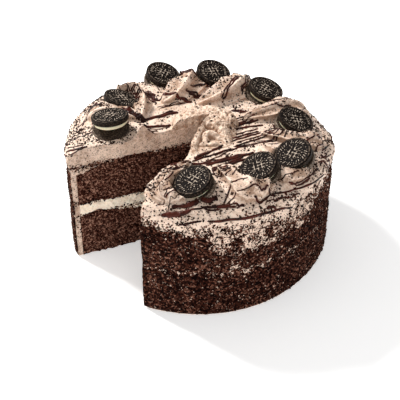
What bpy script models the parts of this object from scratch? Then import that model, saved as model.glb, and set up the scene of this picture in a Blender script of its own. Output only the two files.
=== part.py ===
"""Cookies and cream layer cake with one slice taken out.

Two chocolate sponge layers with a cream filling, a thick cream cap that runs down the side
as a thin coat, dark crumbs pressed into the side, nine piped cream shells, nine small
sandwich cookies pressed into them, and a piped cream dollop in the middle.  Metres, +Z up,
origin on the floor under the middle of the cake.  Azimuths run from +X towards +Y.
"""
import math
import random

import bmesh
import bpy
import numpy as np
from mathutils import Matrix, Vector

MM = 0.001
GAP = 0.3 * MM

# Driving dimensions
TURN_STEPS = 40
SPONGE_RADIUS = 97.0 * MM
COAT_RADIUS = 101.0 * MM
CAP_RADIUS = 102.6 * MM
CRUMB_DEPTH = 2.1 * MM
CRUMB_FOOT = 0.7 * MM
CRUMB_TOP = 80.0 * MM
# Azimuth in degrees and share of CRUMB_TOP that the crumbs reach there
CRUMB_REACH = ((0, 0.87), (90, 0.90), (170, 0.90), (200, 0.88), (235, 0.96), (250, 1.0),
               (290, 1.0), (312, 0.97), (340, 0.90), (360, 0.87))
TOP_HEIGHT = 101.5 * MM

# Radius and height pairs of the uneven surfaces between the layers
LOWER_SPONGE_TOP = ((0.0, 34.0), (49.0, 35.2), (64.0, 38.3), (78.0, 41.0), (86.0, 42.0))
LOWER_SPONGE_EDGE = 40.3 * MM
FILLING_TOP = ((0.0, 50.0), (49.0, 49.8), (64.0, 49.6), (77.0, 49.4), (84.0, 52.4))
FILLING_EDGE = 50.1 * MM
UPPER_SPONGE_TOP = ((0.0, 82.5), (33.0, 85.5), (56.0, 87.3), (68.0, 85.4), (81.0, 83.4), (92.0, 80.6))
UPPER_SPONGE_EDGE = 78.4 * MM
CAP_TOP = ((0.0, 101.5), (42.0, 101.5), (70.0, 101.6), (86.0, 100.6), (95.0, 99.0), (99.6, 97.4))
CAP_SIDE = ((102.2, 93.5), (102.6, 88.0), (101.0, 81.5), (101.0, 50.0), (101.0, 20.0), (101.0, 0.0))

# The cap slopes away from the cut and drops at the rim, more at the back
SLOPE_TOWARDS = math.radians(55.0)
SLOPE = 0.07
RIM_DROP_FROM = 65.0 * MM
RIM_DROP_RUN = 36.0 * MM
RIM_DROP = ((0, 4), (14, 12), (40, 14), (90, 12), (140, 12), (160, 10), (175, 7), (187, 2),
            (200, 0), (235, 0), (270, 3), (320, 3), (345, 1), (360, 4))
SLOPE_STARTS_AT = 55.0 * MM
CREASE_HEIGHT = 46.0 * MM
CREASE_DEPTH = 0.9 * MM

# The missing slice: its point lies just past the axis
SLICE_POINT = (8.0 * MM, 3.6 * MM)
SLICE_FROM = math.radians(200.5)
SLICE_TO = math.radians(243.5)
SLICE_REACH = 150.0 * MM

# Small sandwich cookies
COOKIE_RADIUS = 14.1 * MM
WAFER_THICKNESS = 3.9 * MM
COOKIE_CREAM_RADIUS = 12.6 * MM
COOKIE_CREAM_THICKNESS = 3.0 * MM
COOKIE_THICKNESS = 2 * WAFER_THICKNESS + COOKIE_CREAM_THICKNESS + 2 * GAP
# Middle of each cookie in mm, lean in degrees, azimuth it leans towards, opening of its top wafer
COOKIES = (
    ((-66.0, -7.6, 105.9), 3, 250, 12.5),
    ((-61.8, 30.6, 100.6), 20, 22, 0),
    ((-30.3, 71.2, 99.0), 19, 333, 0),
    ((10.8, 75.4, 98.4), 18, 325, 0),
    ((51.8, 47.4, 99.8), 18, 344, 0),
    ((71.9, 1.0, 101.4), 22, 344, 0),
    ((69.2, -43.8, 102.8), 25, 212, 0),
    ((43.6, -59.4, 102.2), 23, 203, 0),
    ((-3.0, -76.0, 102.6), 21, 209, 0),
)
COOKIE_HEADROOM = 12.0 * MM
COOKIES_UNDER_CREAM = (2,)

# Piped shells: outer end, bend and inner tail in mm, then width, height and twist
SHELLS = (
    ((-88.0, 14.0), (-67.0, 21.0), (-43.0, 6.0), 27.0, 9.0, 0.25),
    ((-68.0, 53.0), (-46.0, 44.0), (-38.0, 6.0), 26.0, 11.0, 0.30),
    ((-10.0, 79.0), (-11.0, 48.0), (-29.0, 29.0), 32.0, 12.0, -0.30),
    ((40.0, 74.0), (26.0, 48.0), (-3.0, 30.0), 34.0, 13.5, -0.25),
    ((87.0, 34.0), (62.0, 22.0), (34.0, 9.0), 28.0, 11.0, -0.25),
    ((95.0, -21.0), (74.0, -19.0), (46.0, -10.0), 28.0, 9.0, 0.25),
    ((83.0, -66.0), (63.0, -60.0), (45.0, -28.0), 36.0, 8.5, 0.30),
    ((47.0, -88.0), (35.0, -79.0), (14.0, -55.0), 36.0, 11.5, 0.25),
    ((-22.0, -94.0), (-23.0, -77.0), (-9.0, -47.0), 34.0, 9.0, 0.25),
)
SHELL_LOBES = 5
SHELL_VALLEY = 0.86
SHELL_STATIONS = (0.03, 0.12, 0.26, 0.42, 0.60, 0.78, 0.93)
SHELL_SKIRT = 16.0 * MM
SHELL_TUCK_FROM = 89.0
SHELL_TUCK_RUN = 9.5

# Middle dollop
DOLLOP_MIDDLE = (3.0 * MM, -2.0 * MM)
DOLLOP_RADIUS = 23.0 * MM
DOLLOP_HEIGHT = 8.6 * MM
DOLLOP_FOOT_REACH = 10.0 * MM
DOLLOP_FOOT_TOWARDS = math.radians(275.0)
DOLLOP_FOOT_WIDTH = math.radians(38.0)
DOLLOP_FOLD_RADII = (4.2 * MM, 3.2 * MM)
DOLLOP_FOLDS = (
    ((5.0, 1.0, 106.0), (0.0, -12.0, 106.0), (-4.0, -22.0, 104.0), (-7.5, -31.0, 101.5)),
    ((7.0, -4.0, 106.0), (15.0, -8.0, 106.0), (21.5, -14.0, 105.0), (22.0, -25.0, 101.5)),
    ((17.0, -20.0, 102.5), (9.0, -20.5, 104.0), (2.0, -24.0, 102.0)),
)

# Chocolate drizzle: parallel runs on the cap between the dollop and the shells
DRIZZLE_TOWARDS = math.radians(30.0)
DRIZZLE_OFFSETS = (-33.0, -27.5, -21.0, -16.5, -10.0, -4.0, 3.0, 9.5, 17.0, 24.5)
DRIZZLE_INNER = 36.0 * MM
DRIZZLE_OUTER = 44.0 * MM
DRIZZLE_RADIUS = 1.3 * MM
RIM_RUN_FROM = math.radians(271.0)
RIM_RUN_TO = math.radians(318.0)
RIM_RUN_AT = (102.2 * MM, 93.0 * MM)
RIM_RUN_RADIUS = 1.5 * MM

# Colour, roughness of each finish
SPONGE = ("chocolate_sponge", (0.058, 0.022, 0.014), 0.95)
CREAM = ("cookie_cream", (0.62, 0.45, 0.33), 0.6)
CRUMB = ("dark_crumb", (0.035, 0.012, 0.008), 0.9)
WAFER = ("cocoa_wafer", (0.028, 0.021, 0.017), 0.75)
VANILLA = ("cookie_filling", (0.60, 0.52, 0.38), 0.6)


def new_collection(name, hidden=False):
    collection = bpy.data.collections.new(name)
    collection.hide_render = hidden
    bpy.context.scene.collection.children.link(collection)
    return collection


def finish(name, finish_of):
    """A material of its own for one sub-part."""
    _, colour, roughness = finish_of
    material = bpy.data.materials.new(name + "_" + finish_of[0])
    material.use_nodes = True
    shader = material.node_tree.nodes["Principled BSDF"]
    shader.inputs["Base Color"].default_value = (*colour, 1.0)
    shader.inputs["Roughness"].default_value = roughness
    shader.inputs["Metallic"].default_value = 0.0
    material.diffuse_color = (*colour, 1.0)
    return material


def add_object(name, mesh, collection, finish_of=None):
    obj = bpy.data.objects.new(name, mesh)
    collection.objects.link(obj)
    if finish_of:
        mesh.materials.clear()
        mesh.materials.append(finish(name, finish_of))
    else:
        obj.display_type = "WIRE"
        obj.hide_render = True
    return obj


def bake_modifiers(obj):
    """Replaces the object's mesh with its evaluated one and clears its modifiers."""
    depsgraph = bpy.context.evaluated_depsgraph_get()
    depsgraph.update()
    mesh = bpy.data.meshes.new_from_object(obj.evaluated_get(depsgraph))
    obj.modifiers.clear()
    obj.data = mesh


def cut(obj, cutter, operation="DIFFERENCE"):
    boolean = obj.modifiers.new(operation.lower(), "BOOLEAN")
    boolean.operation = operation
    boolean.object = cutter
    boolean.solver = "EXACT"
    bake_modifiers(obj)


def keep_largest(obj):
    """Removes the slivers that a cut has parted from the main body."""
    shape = bmesh.new()
    shape.from_mesh(obj.data)
    shape.verts.ensure_lookup_table()
    islands = []
    unseen = set(shape.verts)
    while unseen:
        island = set()
        waiting = [unseen.pop()]
        while waiting:
            vertex = waiting.pop()
            island.add(vertex)
            for edge in vertex.link_edges:
                other = edge.other_vert(vertex)
                if other in unseen:
                    unseen.discard(other)
                    waiting.append(other)
        islands.append(island)
    islands.sort(key=len)
    for island in islands[:-1]:
        bmesh.ops.delete(shape, geom=list(island), context="VERTS")
    shape.to_mesh(obj.data)
    shape.free()


def turned(name, profile, collection, finish_of=None, steps=TURN_STEPS):
    """A profile of radius and height pairs, top to bottom, turned about Z.

    A profile that keeps clear of the axis is closed from its last point to its first.
    """
    mesh = bpy.data.meshes.new(name)
    points = [(radius, 0.0, height) for radius, height in profile]
    edges = [(i, i + 1) for i in range(len(points) - 1)]
    if profile[0][0] > 0.0:
        edges.append((len(points) - 1, 0))
    mesh.from_pydata(points, edges, [])
    obj = add_object(name, mesh, collection, finish_of)
    screw = obj.modifiers.new("turn", "SCREW")
    screw.steps = steps
    screw.render_steps = steps
    screw.use_merge_vertices = True
    screw.merge_threshold = 0.0001
    bake_modifiers(obj)
    if finish_of:
        obj.data.materials.clear()
        obj.data.materials.append(finish(name, finish_of))
    return obj


def in_metres(pairs, lift=0.0):
    return [(radius * MM, height * MM + lift) for radius, height in pairs]


def rim_drop(azimuth):
    knots = np.array(RIM_DROP, dtype=float)
    degrees = np.degrees(azimuth) % 360.0
    return np.interp(degrees, knots[:, 0], knots[:, 1]) * MM


def settle(x, y, z):
    """How the whole cake has settled: a sloping cap, a dropped rim and a side that waves.

    The same smooth move is applied to every layer, so their gaps stay.
    """
    radius = np.hypot(x, y)
    azimuth = np.arctan2(y, x)
    upper = np.clip((z - SLOPE_STARTS_AT) / (TOP_HEIGHT - SLOPE_STARTS_AT), 0.0, 1.0) ** 1.5
    along = np.maximum(0.0, x * math.cos(SLOPE_TOWARDS) + y * math.sin(SLOPE_TOWARDS))
    rim = np.clip((radius - RIM_DROP_FROM) / RIM_DROP_RUN, 0.0, 1.0) ** 2
    sunk = z - upper * (SLOPE * along + rim_drop(azimuth) * rim)
    layer_wave = 0.6 * MM * np.sin(3 * azimuth + 1.0) * np.sin(np.pi * np.clip(z / TOP_HEIGHT, 0.0, 1.0))
    outer = np.clip(radius / COAT_RADIUS, 0.0, 1.0) ** 4
    side_wave = 0.5 * MM * np.sin(2 * azimuth + 0.6) + 0.35 * MM * np.sin(5 * azimuth + 2.0)
    crease = -CREASE_DEPTH * np.exp(-((z - CREASE_HEIGHT) / (6.0 * MM)) ** 2)
    grown = radius + outer * (side_wave + crease)
    return grown * np.cos(azimuth), grown * np.sin(azimuth), sunk + layer_wave


def cap_height(x, y):
    """Height of the cap's top at a place, after it has settled."""
    heights = in_metres(CAP_TOP + CAP_SIDE[:1])
    nominal = np.interp(np.hypot(x, y), [p[0] for p in heights], [p[1] for p in heights])
    return settle(x, y, nominal)[2]


def move_vertices(obj, function):
    count = len(obj.data.vertices)
    flat = np.empty(count * 3)
    obj.data.vertices.foreach_get("co", flat)
    moved = np.column_stack(function(*flat.reshape(-1, 3).T))
    obj.data.vertices.foreach_set("co", moved.ravel())
    obj.data.update()


def layer(name, profile, finish_of, collection, slice_cutter):
    obj = turned(name, profile, collection, finish_of)
    move_vertices(obj, settle)
    cut(obj, slice_cutter)
    return obj


def make_slice_cutter(collection):
    """A tall three-sided prism: the slice that was taken out."""
    apex = Vector((*SLICE_POINT, -20 * MM))
    ends = []
    for azimuth in (SLICE_FROM, SLICE_TO):
        ends.append(apex + SLICE_REACH * Vector((math.cos(azimuth), math.sin(azimuth), 0.0)))
    shape = bmesh.new()
    corners = [shape.verts.new(point) for point in (apex, *ends)]
    base = shape.faces.new(corners)
    grown = bmesh.ops.extrude_face_region(shape, geom=[base])
    tops = [item for item in grown["geom"] if isinstance(item, bmesh.types.BMVert)]
    bmesh.ops.translate(shape, verts=tops, vec=(0.0, 0.0, 170 * MM))
    bmesh.ops.recalc_face_normals(shape, faces=shape.faces)
    mesh = bpy.data.meshes.new("slice_cutter")
    shape.to_mesh(mesh)
    shape.free()
    return add_object("slice_cutter", mesh, collection)


def sponge_bottom_profile():
    top = in_metres(LOWER_SPONGE_TOP)
    side = [(SPONGE_RADIUS, LOWER_SPONGE_EDGE), (SPONGE_RADIUS, 20 * MM), (SPONGE_RADIUS, 0.0)]
    return top + side + [(0.0, 0.0)]


def filling_profile():
    top = in_metres(FILLING_TOP) + [(SPONGE_RADIUS, FILLING_EDGE)]
    bottom = [(SPONGE_RADIUS, LOWER_SPONGE_EDGE + GAP)] + in_metres(LOWER_SPONGE_TOP, GAP)[::-1]
    return top + bottom


def sponge_top_profile():
    top = in_metres(UPPER_SPONGE_TOP) + [(SPONGE_RADIUS, UPPER_SPONGE_EDGE)]
    bottom = [(SPONGE_RADIUS, FILLING_EDGE + GAP)] + in_metres(FILLING_TOP, GAP)[::-1]
    return top + bottom


def icing_profile():
    outside = in_metres(CAP_TOP + CAP_SIDE)
    inner_wall = [(SPONGE_RADIUS + GAP, 0.0), (SPONGE_RADIUS + GAP, 40 * MM),
                  (SPONGE_RADIUS + GAP, UPPER_SPONGE_EDGE + GAP)]
    return outside + inner_wall + in_metres(UPPER_SPONGE_TOP, GAP)[::-1]


def crumb_coat_profile():
    """A skin on the side: its outside stands CRUMB_DEPTH proud and thins out at the top."""
    rows = 9
    inside = COAT_RADIUS + GAP
    outside = [(inside + 0.9 * MM, CRUMB_TOP)]
    for height in np.linspace(CRUMB_TOP - 3 * MM, CRUMB_FOOT, rows):
        outside.append((COAT_RADIUS + CRUMB_DEPTH, float(height)))
    return outside + [(inside, CRUMB_FOOT), (inside, 20 * MM), (inside, 50 * MM), (inside, CRUMB_TOP)]


def crumb_reach(x, y, z):
    """Lowers the upper edge of the skin where the crumbs stop lower down."""
    knots = np.array(CRUMB_REACH, dtype=float)
    share = np.interp(np.degrees(np.arctan2(y, x)) % 360.0, knots[:, 0], knots[:, 1])
    fixed = 50 * MM
    squeeze = (CRUMB_TOP * share - fixed) / (CRUMB_TOP - fixed)
    return x, y, np.where(z > fixed, fixed + (z - fixed) * squeeze, z)


def roughen_crumbs(obj):
    """Moves the outside points of the skin in and out by the size of a crumb."""
    draw = random.Random(7)
    threshold = COAT_RADIUS + 0.75 * CRUMB_DEPTH
    for vertex in obj.data.vertices:
        radius = math.hypot(vertex.co.x, vertex.co.y)
        if radius > threshold and vertex.co.z > 2 * CRUMB_FOOT:
            scale = 1.0 + draw.uniform(-0.75, 0.55) * MM / radius
            vertex.co.x *= scale
            vertex.co.y *= scale
            vertex.co.z += draw.uniform(-0.8, 0.8) * MM
    obj.data.update()


def tube(name, points, radii, sides):
    """A round bar along points, tapering through radii, as a closed mesh object."""
    curve = bpy.data.curves.new(name, "CURVE")
    curve.dimensions = "3D"
    curve.bevel_depth = 1.0
    curve.bevel_resolution = (sides - 4) // 2
    curve.use_fill_caps = True
    spline = curve.splines.new("POLY")
    spline.points.add(len(points) - 1)
    for point, place, radius in zip(spline.points, points, radii):
        point.co = (*place, 1.0)
        point.radius = radius
    obj = bpy.data.objects.new(name, curve)
    bpy.context.scene.collection.objects.link(obj)
    depsgraph = bpy.context.evaluated_depsgraph_get()
    mesh = bpy.data.meshes.new_from_object(obj.evaluated_get(depsgraph))
    bpy.data.objects.remove(obj)
    shape = bmesh.new()
    shape.from_mesh(mesh)
    bmesh.ops.remove_doubles(shape, verts=shape.verts, dist=0.01 * MM)
    bmesh.ops.recalc_face_normals(shape, faces=shape.faces)
    shape.to_mesh(mesh)
    shape.free()
    return mesh


def drizzle_runs():
    """Parallel runs that cross the cap between the dollop and the shells' tails."""
    along = np.array((math.cos(DRIZZLE_TOWARDS), math.sin(DRIZZLE_TOWARDS)))
    across = np.array((-along[1], along[0]))
    draw = random.Random(3)
    for offset in DRIZZLE_OFFSETS:
        offset *= MM
        outer = math.sqrt(DRIZZLE_OUTER ** 2 - offset ** 2)
        inner = math.sqrt(max(0.0, DRIZZLE_INNER ** 2 - offset ** 2))
        spans = [(-outer, outer)] if inner == 0.0 else [(-outer, -inner), (inner, outer)]
        for start, end in spans:
            steps = max(2, round((end - start) / (7 * MM)))
            yield [across * offset + along * s + across * draw.uniform(-0.4, 0.4) * MM
                   for s in np.linspace(start, end, steps + 1)]


def outside_slice(place, margin):
    """True where a place keeps clear of the missing slice by a margin."""
    away = np.array(place) - np.array(SLICE_POINT)
    first = away[0] * math.sin(SLICE_FROM) - away[1] * math.cos(SLICE_FROM)
    second = -away[0] * math.sin(SLICE_TO) + away[1] * math.cos(SLICE_TO)
    return first > margin or second > margin


def clear_of_shells(place, margin):
    """True where a place keeps clear of every piped shell by a margin."""
    for spec in SHELLS:
        for u in np.linspace(0.0, 1.0, 21):
            mid_x, mid_y, _ = shell_point(u, 0.5 * math.pi, *spec)
            foot_x, foot_y, _ = shell_point(u, 0.0, *spec)
            half = math.hypot(foot_x - mid_x, foot_y - mid_y) * MM
            if math.hypot(place[0] - mid_x * MM, place[1] - mid_y * MM) < half + margin:
                return False
    return True


def clear_stretches(run):
    """The unbroken parts of a run that miss the slice and the shells."""
    stretch = []
    for place in run:
        if outside_slice(place, 3 * MM) and clear_of_shells(place, 2 * DRIZZLE_RADIUS):
            stretch.append(place)
            continue
        if len(stretch) > 1:
            yield stretch
        stretch = []
    if len(stretch) > 1:
        yield stretch


def add_drizzle(icing, collection):
    """Fuses the thick chocolate runs to the cap with one union."""
    stretches = [stretch for run in drizzle_runs() for stretch in clear_stretches(run)]
    for index, stretch in enumerate(stretches):
        points = [(x, y, float(cap_height(x, y)) + 0.35 * DRIZZLE_RADIUS) for x, y in stretch]
        radii = [DRIZZLE_RADIUS] * len(points)
        radii[0] = radii[-1] = 0.7 * DRIZZLE_RADIUS
        add_object(f"drizzle_{index:02d}", tube("drizzle", points, radii, sides=4), collection)
    rim_run = []
    for azimuth in np.linspace(RIM_RUN_FROM, RIM_RUN_TO, 16):
        radius = RIM_RUN_AT[0] + 0.5 * MM * math.sin(9 * azimuth)
        rim_run.append((radius * math.cos(azimuth), radius * math.sin(azimuth)))
    for index, stretch in enumerate(clear_stretches(rim_run)):
        points = [tuple(float(c) for c in settle(x, y, RIM_RUN_AT[1])) for x, y in stretch]
        radii = [RIM_RUN_RADIUS] * len(points)
        radii[0] = radii[-1] = 0.7 * RIM_RUN_RADIUS
        add_object(f"drizzle_rim_{index}", tube("drizzle_rim", points, radii, sides=4), collection)
    union = icing.modifiers.new("fuse", "BOOLEAN")
    union.operation = "UNION"
    union.operand_type = "COLLECTION"
    union.collection = collection
    union.solver = "EXACT"
    bake_modifiers(icing)
    for obj in list(collection.objects):
        bpy.data.objects.remove(obj)


def lean_matrix(place, lean, towards, spin=0.0):
    """A frame at a place in mm whose Z leans by so many degrees towards an azimuth."""
    axis = Vector((-math.sin(math.radians(towards)), math.cos(math.radians(towards)), 0.0))
    turn = Matrix.Rotation(math.radians(lean), 4, axis)
    spun = Matrix.Rotation(spin, 4, "Z")
    return Matrix.Translation(Vector(place) * MM) @ turn @ spun


def wafer_profile():
    """A wafer's outside face up: a raised rim ring round a sunk field."""
    thick = WAFER_THICKNESS
    radius = COOKIE_RADIUS
    return [(0.0, thick - 0.45 * MM), (0.66 * radius, thick - 0.45 * MM), (0.72 * radius, thick),
            (0.95 * radius, thick), (radius, thick - 0.8 * MM), (radius, 0.0), (0.0, 0.0)]


def plain_wafer_profile():
    thick = WAFER_THICKNESS
    radius = COOKIE_RADIUS
    return [(0.0, thick), (0.95 * radius, thick), (radius, thick - 0.8 * MM), (radius, 0.0), (0.0, 0.0)]


def make_cookie(index, place, lean, towards, opening, collection):
    """Two cocoa wafers with their outside faces outwards, and the cream between them."""
    frame = lean_matrix(place, lean, towards, spin=0.7 * index)
    base_top = -COOKIE_CREAM_THICKNESS / 2 - GAP
    spread = Matrix.Rotation(hinge_turn(frame, opening), 4, "Z")
    hinge = Matrix.Translation((COOKIE_RADIUS, 0.0, base_top))
    swing = hinge @ Matrix.Rotation(math.radians(opening), 4, "Y") @ hinge.inverted()
    upper_frame = frame @ spread @ swing

    base = turned(f"cookie_{index}_base", plain_wafer_profile(), collection, WAFER, steps=16)
    flip = Matrix.Translation((0.0, 0.0, base_top)) @ Matrix.Rotation(math.pi, 4, "X")
    base.data.transform(flip)
    base.data.transform(frame)

    half = COOKIE_CREAM_THICKNESS / 2
    rim = COOKIE_CREAM_RADIUS
    profile = [(0.0, half), (0.93 * rim, half), (rim, 0.0), (0.93 * rim, -half), (0.0, -half)]
    cream = turned(f"cookie_{index}_cream", profile, collection, VANILLA, steps=16)
    cream.data.transform(upper_frame)

    top = turned(f"cookie_{index}_top", wafer_profile(), collection, WAFER, steps=24)
    top.data.transform(upper_frame @ Matrix.Translation((0.0, 0.0, half + GAP)))


def hinge_turn(frame, opening):
    """Turn about the cookie's own axis that brings its hinge to the far side."""
    if not opening:
        return 0.0
    away = frame.to_3x3().inverted() @ Vector((-0.3, 1.0, 0.0))
    return math.atan2(away.y, away.x)


def cookie_envelope(index, place, lean, towards, opening, collection):
    """The room that a cookie takes in the cream, with the gap all round and headroom on top."""
    frame = lean_matrix(place, lean, towards, spin=0.7 * index)
    room = GAP + 0.03 * MM
    low = -COOKIE_THICKNESS / 2 - room
    high = COOKIE_THICKNESS / 2 + (room if index in COOKIES_UNDER_CREAM else COOKIE_HEADROOM)
    radius = (COOKIE_RADIUS + room) / math.cos(math.pi / 20)
    swing = math.tan(math.radians(opening))
    widened = radius + WAFER_THICKNESS * swing
    profile = [(0.0, high), (widened, high), (radius, low), (0.0, low)]
    obj = turned(f"cookie_room_{index}", profile, collection, steps=20)
    turn = hinge_turn(frame, opening)
    for vertex in obj.data.vertices:
        if vertex.co.z > 0.0:
            from_hinge = COOKIE_RADIUS - vertex.co.x * math.cos(turn) - vertex.co.y * math.sin(turn)
            vertex.co.z += swing * from_hinge
    obj.data.transform(frame)
    return obj


def shell_point(u, v, outer, bend, tail, width, height, twist):
    """Point of a piped shell: an arch carried along a bent line, thick outside, thin inside.

    u runs from the outer end to the tail, v over the arch from one foot to the other.
    """
    swell = 0.28
    if u < swell:
        body = math.sqrt(max(0.0, 1.0 - ((swell - u) / swell) ** 2))
    else:
        body = 1.0 - 0.86 * ((u - swell) / (1.0 - swell)) ** 1.35
    line = [(1 - u) ** 2 * a + 2 * u * (1 - u) * b + u ** 2 * c for a, b, c in zip(outer, bend, tail)]
    slope = [2 * (1 - u) * (b - a) + 2 * u * (c - b) for a, b, c in zip(outer, bend, tail)]
    length = math.hypot(*slope)
    side = (-slope[1] / length, slope[0] / length)
    turned_v = v + twist * (u - 0.4) * math.sin(v)
    across = 0.5 * width * body * math.cos(turned_v)
    up = height * body ** 0.8 * math.sin(turned_v)
    return line[0] + side[0] * across, line[1] + side[1] * across, up


def tucked_in(x, y):
    """Draws a place beyond the rim smoothly back, so that no shell overhangs the side."""
    radius = math.hypot(x, y)
    beyond = max(0.0, radius - SHELL_TUCK_FROM) / SHELL_TUCK_RUN
    kept = min(radius, SHELL_TUCK_FROM) + SHELL_TUCK_RUN * (1.0 - math.exp(-beyond))
    return x * kept / radius, y * kept / radius


def make_shell(index, spec, collection):
    """A ridged piped shell as a loft of zigzag arches, closed to a point at both ends."""
    arch = 2 * SHELL_LOBES
    shape = bmesh.new()
    rings = []
    for u in SHELL_STATIONS:
        ring = []
        for step in range(arch + 1):
            v = math.pi * step / arch
            x, y, up = shell_point(u, v, *spec)
            mid_x, mid_y, _ = shell_point(u, math.pi / 2, *spec)
            ridge = 1.0 if step % 2 else SHELL_VALLEY
            x = mid_x + (x - mid_x) * ridge
            y = mid_y + (y - mid_y) * ridge
            x, y = tucked_in(x, y)
            ground = float(cap_height(x * MM, y * MM))
            ring.append(shape.verts.new((x * MM, y * MM, ground + up * ridge * MM)))
        for corner in (ring[-1], ring[0]):
            ring.append(shape.verts.new((corner.co.x, corner.co.y, corner.co.z - SHELL_SKIRT)))
        rings.append(ring)
    for first, second in zip(rings, rings[1:]):
        for i in range(len(first)):
            j = (i + 1) % len(first)
            shape.faces.new((first[i], first[j], second[j], second[i]))
    for ring, u in ((rings[0], 0.0), (rings[-1], 1.0)):
        x, y = tucked_in(*shell_point(u, math.pi / 2, *spec)[:2])
        ground = float(cap_height(x * MM, y * MM))
        tip = shape.verts.new((x * MM, y * MM, ground - 0.1 * SHELL_SKIRT))
        for i in range(len(ring)):
            shape.faces.new((ring[i], ring[(i + 1) % len(ring)], tip))
    bmesh.ops.recalc_face_normals(shape, faces=shape.faces)
    name = f"shell_{index}"
    mesh = bpy.data.meshes.new(name)
    shape.to_mesh(mesh)
    shape.free()
    return add_object(name, mesh, collection, CREAM)


def dollop_profile():
    rows = 5
    profile = [(0.0, 1.0)]
    for row in range(1, rows + 1):
        angle = 0.5 * math.pi * row / rows
        profile.append((math.sin(angle), math.cos(angle) ** 0.45 if row < rows else 0.0))
    return profile + [(0.9, -0.5), (0.0, -0.5)]


def make_dollop(collection, folds_collection):
    """A low mound with a foot towards the viewer and three rope folds laid over its near side."""
    profile = [(radius * DOLLOP_RADIUS, height * DOLLOP_HEIGHT) for radius, height in dollop_profile()]
    obj = turned("dollop", profile, collection, CREAM, steps=24)

    def spread(x, y, z):
        azimuth = np.arctan2(y, x)
        turn = (azimuth - DOLLOP_FOOT_TOWARDS + math.pi) % (2 * math.pi) - math.pi
        reach = 1.0 + DOLLOP_FOOT_REACH / DOLLOP_RADIUS * np.exp(-(turn / DOLLOP_FOOT_WIDTH) ** 2)
        lobes = 1.0 + 0.06 * np.sin(5 * azimuth + 90 * z)
        return x * reach * lobes + DOLLOP_MIDDLE[0], y * reach * lobes + DOLLOP_MIDDLE[1], z + TOP_HEIGHT

    move_vertices(obj, spread)
    for index, points in enumerate(DOLLOP_FOLDS):
        places = smooth_path([Vector(point) * MM for point in points], 7)
        radii = np.linspace(*DOLLOP_FOLD_RADII, len(places))
        radii[0] *= 0.6
        radii[-1] *= 0.6
        add_object(f"fold_{index}", tube("fold", places, radii, sides=8), folds_collection)
    union = obj.modifiers.new("fuse", "BOOLEAN")
    union.operation = "UNION"
    union.operand_type = "COLLECTION"
    union.collection = folds_collection
    union.solver = "EXACT"
    bake_modifiers(obj)
    for fold in list(folds_collection.objects):
        bpy.data.objects.remove(fold)
    return obj


def smooth_path(points, count):
    """Points evenly spread along a line that bends smoothly through the given ones."""
    places = np.array([tuple(point) for point in points])
    known = np.linspace(0.0, 1.0, len(places))
    wanted = np.linspace(0.0, 1.0, count)
    degree = min(3, len(places) - 1)
    return [tuple(float(np.polyval(np.polyfit(known, places[:, axis], degree), t)) for axis in range(3))
            for t in wanted]


def make_raised_cap(collection):
    """The cap's outside, lifted by the gap: it gives shells and dollop their underside."""
    outside = in_metres(CAP_TOP + CAP_SIDE[:3])
    profile = outside + [(0.0, CAP_SIDE[2][1] * MM)]
    obj = turned("raised_cap", profile, collection)
    move_vertices(obj, settle)
    lift = GAP * 1.4

    def raise_cap(x, y, z):
        radius = np.hypot(x, y)
        out = 1.0 + lift * np.clip(radius / CAP_RADIUS, 0.0, 1.0) / np.maximum(radius, MM)
        return x * out, y * out, z + lift

    move_vertices(obj, raise_cap)
    return obj


def build():
    for obj in list(bpy.data.objects):
        bpy.data.objects.remove(obj)
    cake = new_collection("cookies_and_cream_cake")
    cutters = new_collection("cutters", hidden=True)
    toppings = new_collection("toppings", hidden=True)

    slice_cutter = make_slice_cutter(cutters)
    layer("sponge_bottom", sponge_bottom_profile(), SPONGE, cake, slice_cutter)
    layer("filling", filling_profile(), CREAM, cake, slice_cutter)
    layer("sponge_top", sponge_top_profile(), SPONGE, cake, slice_cutter)

    rooms = [cookie_envelope(index, *spec, cutters) for index, spec in enumerate(COOKIES, 1)]
    icing = turned("icing", icing_profile(), cake, CREAM)
    move_vertices(icing, settle)
    add_drizzle(icing, toppings)
    for room in rooms:
        cut(icing, room)
    cut(icing, slice_cutter)

    crumbs = turned("crumb_coat", crumb_coat_profile(), cake, CRUMB)
    move_vertices(crumbs, crumb_reach)
    roughen_crumbs(crumbs)
    move_vertices(crumbs, settle)
    cut(crumbs, slice_cutter)

    raised_cap = make_raised_cap(cutters)
    near = (COOKIE_RADIUS + 25 * MM) / MM
    for index, spec in enumerate(SHELLS, 1):
        shell = make_shell(index, spec, cake)
        cut(shell, raised_cap)
        for room, (place, *_rest) in zip(rooms, COOKIES):
            gaps = [math.dist(place[:2], end) for end in spec[:3]]
            if min(gaps) < near:
                cut(shell, room)
        cut(shell, slice_cutter)
        keep_largest(shell)

    dollop = make_dollop(cake, toppings)
    cut(dollop, raised_cap)
    cut(dollop, slice_cutter)
    keep_largest(dollop)

    for index, spec in enumerate(COOKIES, 1):
        make_cookie(index, *spec, cake)


build()
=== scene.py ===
"""A cookies and cream layer cake with one slice taken out, dressed over its CAD frame."""

import math

import bmesh
import bpy
import numpy as np
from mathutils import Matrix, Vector
from mathutils.bvhtree import BVHTree


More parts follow.
